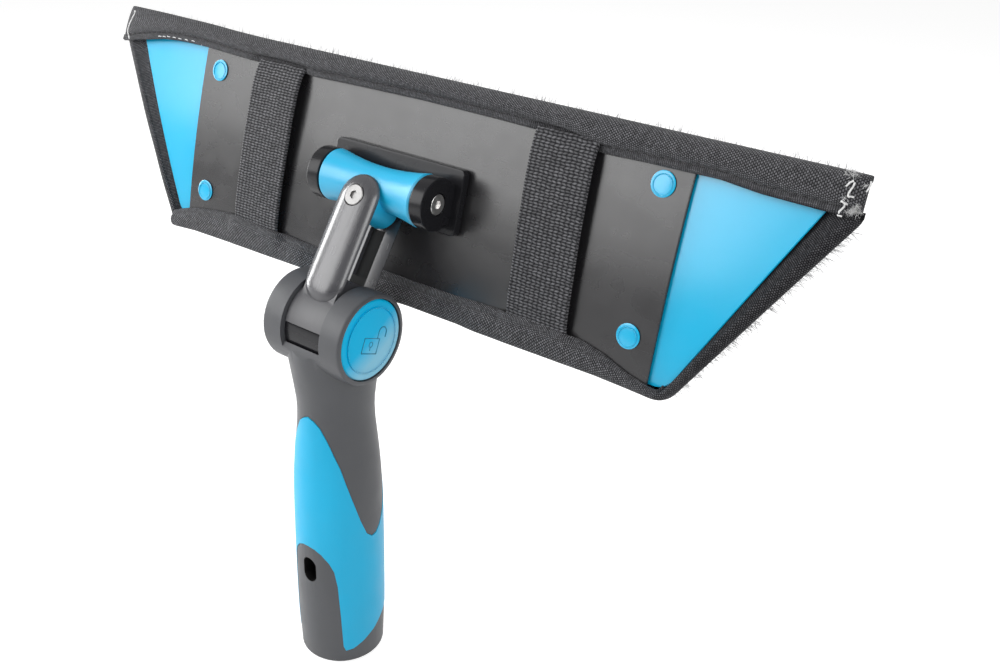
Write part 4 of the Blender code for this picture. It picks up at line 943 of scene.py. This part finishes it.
def band_rows(point, heading):
    """The strip's section at a place on the path: inward distance and y, in millimetres."""
    on_end = clamped(abs(heading.y) / END_STEEP - END_LATE) ** END_POWER
    width = table(LIP_WIDTH, point.x / MM)
    small = min(1, width / FULL_LIP)
    end_width = END_WIDTH[0] + (END_WIDTH[1] - END_WIDTH[0]) * climb(point.y)
    plate = plate_front(min(PLATE_HALF_HEIGHT, max(-PLATE_HALF_HEIGHT, point.y))) / MM
    lifted = near_strap(point.x, -SLANT_TOP) * (1 - on_end)
    fullness = (THIN_LIP + (1 - THIN_LIP) * small) * (1 - table(FLATTENED, abs(point.x) / MM))
    rows = []
    for (share, step, over, lift), (end_share, end_step, end_over) in zip(LIP_ROWS, END_ROWS):
        lip = (width * share + step * small, plate + over * fullness - lift * lifted)
        end = (end_width * end_share + end_step, plate + WING_BACK / MM + end_over)
        rows.append([flat + (slanted - flat) * on_end for flat, slanted in zip(lip, end)])
    start = rows[-1][1]
    return rows + [(inset, start + (PAD_BACK / MM - start) * share) for inset, share in WALL_ROWS]


def band_place(u, v):
    """Where a point of the flat strip goes round the pad."""
    point, heading = walk(PATH, u)
    inward = Vector((-heading.y, heading.x))
    inset, y = along_section(band_rows(point, heading), v)
    ripple = noise.noise((u * BAND_RIPPLE_PITCH, v * 2, 9)) * BAND_RIPPLE * math.sin(math.pi * v)
    place = point + inward * (inset * MM)
    return Vector((place.x, (y + ripple) * MM, place.y))


band_size = (PATH_LENGTH, BAND_WIDTH)
shape = bent_sheet(PATH_STEPS, BAND_ROWS, band_place, band_size)
band = finished("edge_binding", shape, EDGE_NYLON, "head")
thicken(band, CLOTH)
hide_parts("bottom_hem", "left_end_hem", "right_end_hem")
print("edge strip:", [round(side, 4) for side in band_size])

# %% [markdown]
# ## The elastic straps
# Two bands of woven elastic are sewn under the hems and held off the plate by their own tension.
# They are flat sheets bowed gently outwards, and their ends dive under the hems.

# %% Stretch the two straps
STRAP_TOP = 36.0 * MM
STRAP_BOTTOM = -36.0 * MM
STRAP_THICKNESS = 1.3 * MM
STRAP_COLUMNS = 16
STRAP_ROWS = 48
STRAP_RIPPLE = 0.2
# The strap's front at heights along it: z and y in millimetres
STRAP_LINE = ((-36, 10.6), (-33.5, 10.0), (-31, 9.3), (-26, 8.7), (-15, 8.0), (0, 7.5), (15, 7.4),
              (26, 7.8), (31, 8.6), (34, 9.4), (36, 10.6))


def strap_place(side):
    """A function that puts a point of the flat strap on this side of the pad."""
    def place(u, v):
        z = STRAP_BOTTOM + (STRAP_TOP - STRAP_BOTTOM) * v
        y = table(STRAP_LINE, z / MM)
        x = side * (STRAP_CENTRE - STRAP_LEAN * z) + (u - 0.5) * STRAP_WIDTH
        ripple = noise.noise((u * 2, v * 5, side)) * STRAP_RIPPLE
        return Vector((x, (y + ripple) * MM, z))
    return place


strap_size = (STRAP_WIDTH, STRAP_TOP - STRAP_BOTTOM)
for side, name in ((-1, "left"), (1, "right")):
    shape = bent_sheet(STRAP_COLUMNS, STRAP_ROWS, strap_place(side), strap_size)
    strap = finished(name + "_elastic", shape, STRAP_ELASTIC, "head")
    thicken(strap, STRAP_THICKNESS)
    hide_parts(name + "_strap")
print("strap:", [round(side, 4) for side in strap_size])

# %% [markdown]
# ## The foam core and the microfibre face
# Behind the plate lies a foam pad, and behind that the microfibre that touches the glass. Foam is
# a soft slab, so a box with many cuts is pulled to the pad's outline and rounded. The microfibre is
# the same with a much livelier surface: each point is pushed in and out by noise, as pile is.

# %% A slab with the pad's outline
# How quickly a slab's unevenness changes over a metre, and the power that rounds its rim
LIVELINESS = 260
RIM_POWER = 8
RIM_ROUNDNESS = 0.98
DEPTH_CUTS = 3


def pad_slab(front, back, growth, spacing, rounding, wobble=0.0, seed=0, end_inset=0.0):
    """A slab with the pad's outline, grown by a distance, with a rounded rim and a lively surface."""
    shape = bmesh.new()
    bmesh.ops.create_cube(shape, size=2)
    cuts = {0: int(2 * PAD_TOP_HALF / spacing), 2: int(2 * PAD_HALF_HEIGHT / spacing), 1: DEPTH_CUTS}
    for axis, count in cuts.items():
        edges = [edge for edge in shape.edges
                 if abs(edge.verts[0].co[axis] - edge.verts[1].co[axis]) > 1]
        bmesh.ops.subdivide_edges(shape, edges=edges, cuts=count, use_grid_fill=True)
    middle, depth = (front + back) / 2, (back - front) / 2
    for vertex in shape.verts:
        u, w, v = vertex.co
        inset = rounding * (1 - math.sqrt(max(0, 1 - w * w * RIM_ROUNDNESS)))
        z = v * (PAD_HALF_HEIGHT + growth - inset * abs(v) ** RIM_POWER)
        half = half_length(z) + growth - end_inset
        x = u * (half - inset * abs(u) ** RIM_POWER)
        push = noise.noise((x * LIVELINESS + seed, w * 2, z * LIVELINESS)) * wobble
        vertex.co = (x, middle + w * depth + push * w, z)
    bmesh.ops.recalc_face_normals(shape, faces=shape.faces)
    return shape


print("the slab recipe is ready")

# %% The foam core
FOAM_FRONT = 17.4 * MM
# The size of the foam's cells and the depth of their relief, in metres
FOAM_CELL = 0.0008
FOAM_RELIEF = 0.0002
FOAM_DARK = (0.05, 0.05, 0.052, 1)
FOAM_PALE = (0.17, 0.17, 0.175, 1)

FOAM, tree, shader = start_finish("grey_foam", Roughness=0.95, Sheen_Weight=0.1)
place = object_place(tree)
cells = node(tree, "TexVoronoi", {"Vector": place, "Scale": 1 / FOAM_CELL}).outputs["Distance"]
open_cells = spread(tree, cells, 0.1, 0.6, 0, 1)
fill(tree, shader.inputs["Base Color"], blend_colours(tree, open_cells, FOAM_DARK, FOAM_PALE))
bump(tree, shader, cells, FOAM_RELIEF)

shape = pad_slab(FOAM_FRONT, PAD_BACK, growth=-5.5 * MM, spacing=6 * MM, rounding=1.0 * MM)
core = finished("foam_pad", shape, FOAM, "head")
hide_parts("pad_core")
print("foam faces:", len(core.data.polygons))

# %% The microfibre face
FACE_FRONT = PAD_BACK + 0.3 * MM
FACE_GLASS = 29.6 * MM
# The size of the pile's loops and of its clumps and the depth of their relief, in metres
PILE_LOOP = 0.0016
PILE_CLUMP = 0.006
PILE_RELIEF = 0.0006
PILE_SHADED = (0.80, 0.80, 0.79, 1)
PILE_LIT = (0.97, 0.97, 0.96, 1)

PILE_WHITE, tree, shader = start_finish("microfibre_white", Roughness=0.92, Sheen_Weight=1.0,
                                        Sheen_Roughness=0.35)
place = object_place(tree)
loops = node(tree, "TexVoronoi", {"Vector": place, "Scale": 1 / PILE_LOOP}).outputs["Distance"]
clumps = speckle(tree, place, PILE_CLUMP, detail=4.0)
shade = product(tree, spread(tree, loops, 0.0, 0.7, 1.0, 0.55), spread(tree, clumps, 0.3, 0.7, 0.85, 1.05))
fill(tree, shader.inputs["Base Color"], blend_colours(tree, shade, PILE_SHADED, PILE_LIT))
bump(tree, shader, shade, PILE_RELIEF)

shape = pad_slab(FACE_FRONT, FACE_GLASS, growth=-0.4 * MM, spacing=3.2 * MM, rounding=2.4 * MM,
                 wobble=1.0 * MM, seed=5, end_inset=5.0 * MM)
face = finished("microfibre_pad", shape, PILE_WHITE, "head")
round_off(face)
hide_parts("microfibre_face")
print("microfibre faces:", len(face.data.polygons))

# %% [markdown]
# ## Threads, signs and small raised lines
# Stitches, the sign on the button and the rims of the rivets are all thin rounded lines. Each is a
# chain of short cones between neighbouring points, so one helper serves them all: with a small end
# radius and three sides it also makes the strands of the pile.

# %% A chain of thin cones
def limb(shape, first, second, radius, end_radius=None, sides=6):
    """A closed cone between two points."""
    run = second - first
    turn = run.to_track_quat("Z", "Y").to_matrix().to_4x4()
    bmesh.ops.create_cone(shape, cap_ends=True, cap_tris=False, segments=sides, radius1=radius,
                          radius2=radius if end_radius is None else end_radius, depth=run.length,
                          matrix=Matrix.Translation((first + second) / 2) @ turn)


def raised_line(shape, points, radius):
    """A thin rounded line through some points."""
    for first, second in zip(points, points[1:]):
        limb(shape, first, second, radius)


def ring_points(centre, axis, radius, steps):
    """Points on a circle round an axis, the first one repeated at the end."""
    turn = axis.to_track_quat("Z", "Y").to_matrix()
    angles = [math.tau * step / steps for step in range(steps + 1)]
    return [centre + turn @ Vector((math.cos(angle) * radius, math.sin(angle) * radius, 0))
            for angle in angles]


def corners_of(points):
    """The lowest and highest corner of the box round some points."""
    return [Vector([pick(point[axis] for point in points) for axis in range(3)]) for pick in (min, max)]


print("lines and rings are ready")

# %% [markdown]
# ### The button's ring and its open padlock
# The unlock button carries a moulded ring and a small open padlock: a body with a keyhole, and a
# shackle with one leg out. The button faces along X, so the sign is drawn in the plane of Y and Z
# and turned a little, the way the button sits in the photograph.

# %% Raise the ring and the padlock on the unlock button
SIGN_LINE = 0.20 * MM
# The lines are let into the button's face by this share of their radius
SIGN_SINK = 0.3
SIGN_TURN = math.radians(-22)
SIGN_PLACE = (-2.2 * MM, -4.6 * MM)
BODY_SIZE = (8.4 * MM, 6.0 * MM)
# The shackle: how far out its leg stands, how high it goes, its radius, and where its free leg ends
LEG_SHARE = 0.70
LEG_HEIGHT = 2.6 * MM
SHACKLE_RADIUS = 2.1 * MM
FREE_LEG = 0.3
ARC_STEPS = 12
# The keyhole: its radius, its height and its slot's end as shares of the body
KEYHOLE_RADIUS = 1.0 * MM
KEYHOLE_HEIGHT = 0.6
SLOT_END = 0.2
RING_RADIUS = 12.9 * MM
RING_LINE = SIGN_LINE * 1.2
RING_STEPS = 64

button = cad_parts["unlock_button"]
low, high = corners_of([button.matrix_world @ vertex.co for vertex in button.data.vertices])
button_face = high.x - SIGN_LINE * SIGN_SINK
button_middle = (low + high) / 2


def on_button(across, up):
    """A point of the sign on the button's face."""
    turned = Matrix.Rotation(SIGN_TURN, 2) @ Vector((across, up))
    return Vector((button_face, button_middle.y + SIGN_PLACE[0] + turned.x,
                   button_middle.z + SIGN_PLACE[1] + turned.y))


def arc(across, up, radius, start, end):
    """Points of the sign on part of a circle."""
    angles = [start + (end - start) * step / ARC_STEPS for step in range(ARC_STEPS + 1)]
    return [on_button(across + math.cos(angle) * radius, up + math.sin(angle) * radius)
            for angle in angles]


half_width = BODY_SIZE[0] / 2
height = BODY_SIZE[1]
keyhole = height * KEYHOLE_HEIGHT
leg = half_width * LEG_SHARE
body_corners = [on_button(side * half_width, up)
                for side, up in ((-1, 0), (1, 0), (1, height), (-1, height), (-1, 0))]
shackle = [on_button(leg, height),
           *arc(leg + SHACKLE_RADIUS, height + LEG_HEIGHT, SHACKLE_RADIUS, math.pi, 0),
           on_button(leg + SHACKLE_RADIUS * 2, height + LEG_HEIGHT * FREE_LEG)]
slot_line = [on_button(0, keyhole - KEYHOLE_RADIUS), on_button(0, height * SLOT_END)]
shape = bmesh.new()
for line in (body_corners, shackle, arc(0, keyhole, KEYHOLE_RADIUS, 0, math.tau), slot_line):
    raised_line(shape, line, SIGN_LINE)
# The sign's darker blue is painted shade
sign = finished("open_padlock_sign", shape, SIGN_SHADE_BLUE, "lock", Matrix())
shape = bmesh.new()
ring_middle = Vector((button_face, button_middle.y, button_middle.z))
raised_line(shape, ring_points(ring_middle, Vector((1, 0, 0)), RING_RADIUS, RING_STEPS), RING_LINE)
ring = finished("button_ring", shape, BUTTON_BLUE, "lock", Matrix())
print("sign faces:", len(sign.data.polygons))

# %% [markdown]
# ### Rivet rims
# Each rivet head has a raised rim round a shallow dish. The heads lean with the bowed plate, so the
# ring takes its direction from the flattest face of the rivet itself.

# %% Ring the rivets
RIM_SHARE = 0.80
RIM_LINE = 0.22 * MM
RIM_SINK = 0.4
RIM_STEPS = 40
# Faces that look this much towards the handle belong to a rivet's head
HEAD_FACING = -0.9

for name in RIVETS:
    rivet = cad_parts[name].data
    fronts = [polygon for polygon in rivet.polygons if polygon.normal.y < HEAD_FACING]
    outward = sum((polygon.normal * polygon.area for polygon in fronts), Vector()).normalized()
    rim_points = [rivet.vertices[index].co for polygon in fronts for index in polygon.vertices]
    low, high = corners_of(rim_points)
    crown = (low + high) / 2
    top = max(outward.dot(point - crown) for point in rim_points) - RIM_LINE * RIM_SINK
    radius = (high.x - low.x) / 2 * RIM_SHARE
    shape = bmesh.new()
    raised_line(shape, ring_points(crown + outward * top, outward, radius, RIM_STEPS), RIM_LINE)
    rim = finished(name + "_rim", shape, GLOSS_BLUE, "head", Matrix())
print("rivets are rimmed")

# %% [markdown]
# ### Topstitching and the loose white threads
# A line of dark stitches holds the top hem's lip. The ends of the hem were sewn shut in a hurry
# with white thread, which wanders, and the right end kept some fluff. Each stitch rises a little
# from the cloth in its middle, as thread does.

# %% Where the threads run
SEAM_SHARE = 0.43
SEAM_LIMIT = 166.0 * MM
STITCH_PITCH = 3.3 * MM
STITCH_LENGTH = 2.1 * MM
THREAD_RADIUS = 0.20 * MM
THREAD_LIFT = 0.22 * MM
# The dark stitches are this much thinner, and the white ones at the ends this much thicker
DARK_THREAD = 0.8
END_THREAD = 1.5
# Runs of white thread on the top hem: x and z in millimetres
WHITE_RUNS = (
    ((-168.1, 43.1), (-166.6, 41.4), (-167.0, 38.3), (-168.4, 35.5), (-168.7, 32.9), (-166.9, 30.2)),
    ((167.9, 38.9), (168.6, 40.5), (169.4, 41.0)),
    ((169.8, 40.8), (169.8, 39.3), (169.1, 37.3), (169.2, 36.4), (170.8, 36.6)),
    ((168.9, 34.4), (168.6, 33.2), (167.6, 31.4), (167.3, 29.6), (168.6, 28.2)),
    ((167.6, 34.8), (169.6, 34.0)),
    ((173.8, 42.1), (174.0, 40.7), (173.4, 38.7)))
# Tufts of fluff that the seam has caught: x and z in millimetres, their spread and their strands
TUFTS = ((170.8, 32.2, 1.0, 110), (172.0, 33.6, 0.8, 80), (172.8, 32.2, 0.8, 50), (167.2, 43.6, 1.0, 50),
         (168.6, 43.0, 1.1, 50), (167.8, 45.0, 0.9, 40), (172.6, 40.4, 0.6, 14), (168.4, 35.2, 0.8, 24))
# A strand of fluff: its radius and length, and the radius of its tip as a share
FLUFF_RADIUS = 0.06 * MM
FLUFF_LENGTH = 1.2 * MM
FLUFF_TIP = 0.3
# Fluff scatters by this share of its tuft's spread
FLUFF_SCATTER = 0.6
# Pale stitches along the lip near the left end: x and z in millimetres, then how each one runs on
PALE_LIP = ((-147.3, 34.5), (-144.4, 34.9), (-141.5, 35.4), (-137.8, 35.6), (-134.1, 35.7),
            (-129.8, 35.9), (-125.4, 36.1), (-119.5, 35.2))
PALE_RUN = (1.8, -0.2)
# The shares of the hem's section that a thread may lie on, from its lip to its crest
HEM_SHARES = [0.10 + 0.70 * step / 90 for step in range(91)]


def paint(name, colour):
    """A plain thread or fluff colour with a little variation along it."""
    material, tree, shader = start_finish(name, Roughness=0.8, Sheen_Weight=0.3)
    uneven = speckle(tree, object_place(tree), 0.0008)
    darker = (*[part * 0.7 for part in colour], 1)
    fill(tree, shader.inputs["Base Color"], blend_colours(tree, uneven, darker, (*colour, 1)))
    return material


THREAD_DARK = paint("dark_thread", (0.055, 0.055, 0.06))
THREAD_WHITE = paint("white_thread", (0.88, 0.88, 0.88))


def along_hem(x):
    """The share of the top hem's length at x."""
    return (x / (TOP_HEM_END + CAP_FOLD) + 1) / 2


def hem_share(x, z):
    """The share of the top hem's section, on its outer side, at a height."""
    return min(HEM_SHARES, key=lambda share: abs(top_hem_place(along_hem(x), share).z - z))


def on_hem(x, share, lift=0.0):
    """A point on the top hem's skin, raised outwards by a distance."""
    outward = Vector((0, -0.8, 0.6 if share > 0.6 else 0.0))
    return top_hem_place(along_hem(x), share) + outward * lift


print("white runs:", len(WHITE_RUNS), "tufts:", len(TUFTS))

# %% Sew the top hem
dark = bmesh.new()
pale = bmesh.new()
x = -SEAM_LIMIT
while x < SEAM_LIMIT:
    if near_strap(x, SLANT_TOP) < 0.5:
        points = [on_hem(x + STITCH_LENGTH * share, SEAM_SHARE, THREAD_LIFT * math.sin(math.pi * share))
                  for share in (0, 0.33, 0.67, 1)]
        raised_line(dark, points, THREAD_RADIUS * DARK_THREAD)
    x += STITCH_PITCH
for x, z in PALE_LIP:
    points = []
    for share in (0, 0.5, 1):
        level = hem_share(x * MM, (z + PALE_RUN[1] * share) * MM)
        lift = THREAD_LIFT * (0.4 + math.sin(math.pi * share))
        points.append(on_hem((x + PALE_RUN[0] * share) * MM, level, lift))
    raised_line(pale, points, THREAD_RADIUS)
for run in WHITE_RUNS:
    points = []
    for (x, z), (next_x, next_z) in zip(run, run[1:]):
        for share in (0, 0.5):
            place = ((x + (next_x - x) * share) * MM, (z + (next_z - z) * share) * MM)
            points.append(on_hem(place[0], hem_share(*place), THREAD_LIFT * (0.5 + dice.random())))
    place = (run[-1][0] * MM, run[-1][1] * MM)
    points.append(on_hem(place[0], hem_share(*place), THREAD_LIFT))
    raised_line(pale, points, THREAD_RADIUS * END_THREAD)
print("stitches are sewn")

# %% Catch the fluff in the seam
for x, z, reach, count in TUFTS:
    for _ in range(count):
        place = (dice.gauss(x, reach * FLUFF_SCATTER) * MM, dice.gauss(z, reach * FLUFF_SCATTER) * MM)
        root = on_hem(min(place[0], TOP_HEM_END), hem_share(*place))
        lean = Vector((dice.gauss(0, 0.8), dice.uniform(-0.9, -0.1), dice.gauss(0.2, 0.8))).normalized()
        limb(pale, root, root + lean * FLUFF_LENGTH * dice.uniform(0.5, 1.2), FLUFF_RADIUS,
             FLUFF_RADIUS * FLUFF_TIP, sides=3)
SEWN = (("hem_topstitches", dark, THREAD_DARK), ("white_end_threads", pale, THREAD_WHITE))
for name, shape, material in SEWN:
    threads = finished(name, shape, material, "head")
    print(name, "faces:", len(threads.data.polygons))

# %% [markdown]
# ### Pile and fluff
# Long strands cover the glass face and stand out past the pad's rim, most of all at its worn right
# end. Each is one slim three-sided cone that leans at random. They are made a handful at a time and
# gathered, which is quick. The loose ones at the rim are painted grey, as the shade among them.

# %% How the strands grow
FACE_STRANDS = 5200
RIM_STRANDS = 1900
STRAND_RADIUS = 0.16 * MM
STRAND_TIP = 0.15
STRAND_LENGTH = (2.2 * MM, 4.4 * MM)
# Strands at the right end are this much longer
RIGHT_STRETCH = 2.0
HANDFUL = 60
# Where the strands root: their depth on the face, and how far in from the pad's outline
FACE_ROOTS = 28.7 * MM
FACE_INSET = 7 * MM
RIM_ROOTS = (PAD_BACK + 1.5 * MM, 29.3 * MM)
RIM_DROP = 1.2 * MM
RIM_INSET = 8 * MM
END_INSET = 6.2 * MM
# The shares of the pad's half height that the strands reach, on the face and at the two ends, where
# they stay below the corners of the top hem
FACE_SHARE = 0.97
END_SHARE = 0.6


def strand(shape, root, lean, stretch=1.0):
    """One strand of pile from a root towards a direction."""
    length = dice.uniform(*STRAND_LENGTH) * stretch
    limb(shape, root, root + lean.normalized() * length, STRAND_RADIUS * dice.uniform(0.7, 1.2),
         STRAND_RADIUS * STRAND_TIP, sides=3)


def face_root():
    """A random root on the glass face, and its lean."""
    z = dice.uniform(-PAD_HALF_HEIGHT, PAD_HALF_HEIGHT) * FACE_SHARE
    x = dice.uniform(-1, 1) * (half_length(z) - FACE_INSET)
    lean = Vector((dice.gauss(0, 0.8), dice.uniform(0.15, 0.9), dice.gauss(-0.4, 0.8)))
    return Vector((x, FACE_ROOTS, z)), lean


def rim_root():
    """A random root on the fleece's rim, its outward lean and how much longer its strand is."""
    side = dice.choice(("top", "right", "right", "bottom", "left"))
    y = dice.uniform(*RIM_ROOTS)
    if side in ("top", "bottom"):
        up = 1 if side == "top" else -1
        z = up * (PAD_HALF_HEIGHT - RIM_DROP)
        x = dice.uniform(-1, 1) * (half_length(z) - RIM_INSET)
        out = Vector((0, 0, up))
    else:
        out = Vector((1 if side == "right" else -1, 0, 0))
        z = dice.uniform(-PAD_HALF_HEIGHT, PAD_HALF_HEIGHT * END_SHARE)
        x = out.x * (half_length(z) - END_INSET)
    lean = out + Vector((dice.gauss(0, 0.5), dice.gauss(0.1, 0.4), dice.gauss(0, 0.5)))
    return Vector((x, y, z)), lean, RIGHT_STRETCH if side == "right" else 1.0


def grow(count, root_of):
    """Gather strands into one shape, a handful at a time."""
    gathered = bmesh.new()
    for start in range(0, count, HANDFUL):
        handful = bmesh.new()
        for _ in range(min(HANDFUL, count - start)):
            strand(handful, *root_of())
        mesh = bpy.data.meshes.new("handful")
        handful.to_mesh(mesh)
        handful.free()
        gathered.from_mesh(mesh)
        bpy.data.meshes.remove(mesh)
    return gathered


print("strands:", FACE_STRANDS + RIM_STRANDS)

# %% Grow the pile
# The loose strands at the rim are painted grey, as the shade among them
RIM_SHADE_GREY = paint("loose_pile", (0.50, 0.50, 0.51))
PILES = (("glass_face_pile", FACE_STRANDS, face_root, PILE_WHITE),
         ("rim_pile", RIM_STRANDS, rim_root, RIM_SHADE_GREY))
for name, count, root_of, material in PILES:
    pile = finished(name, grow(count, root_of), material, "head")
    print(name, "faces:", len(pile.data.polygons))
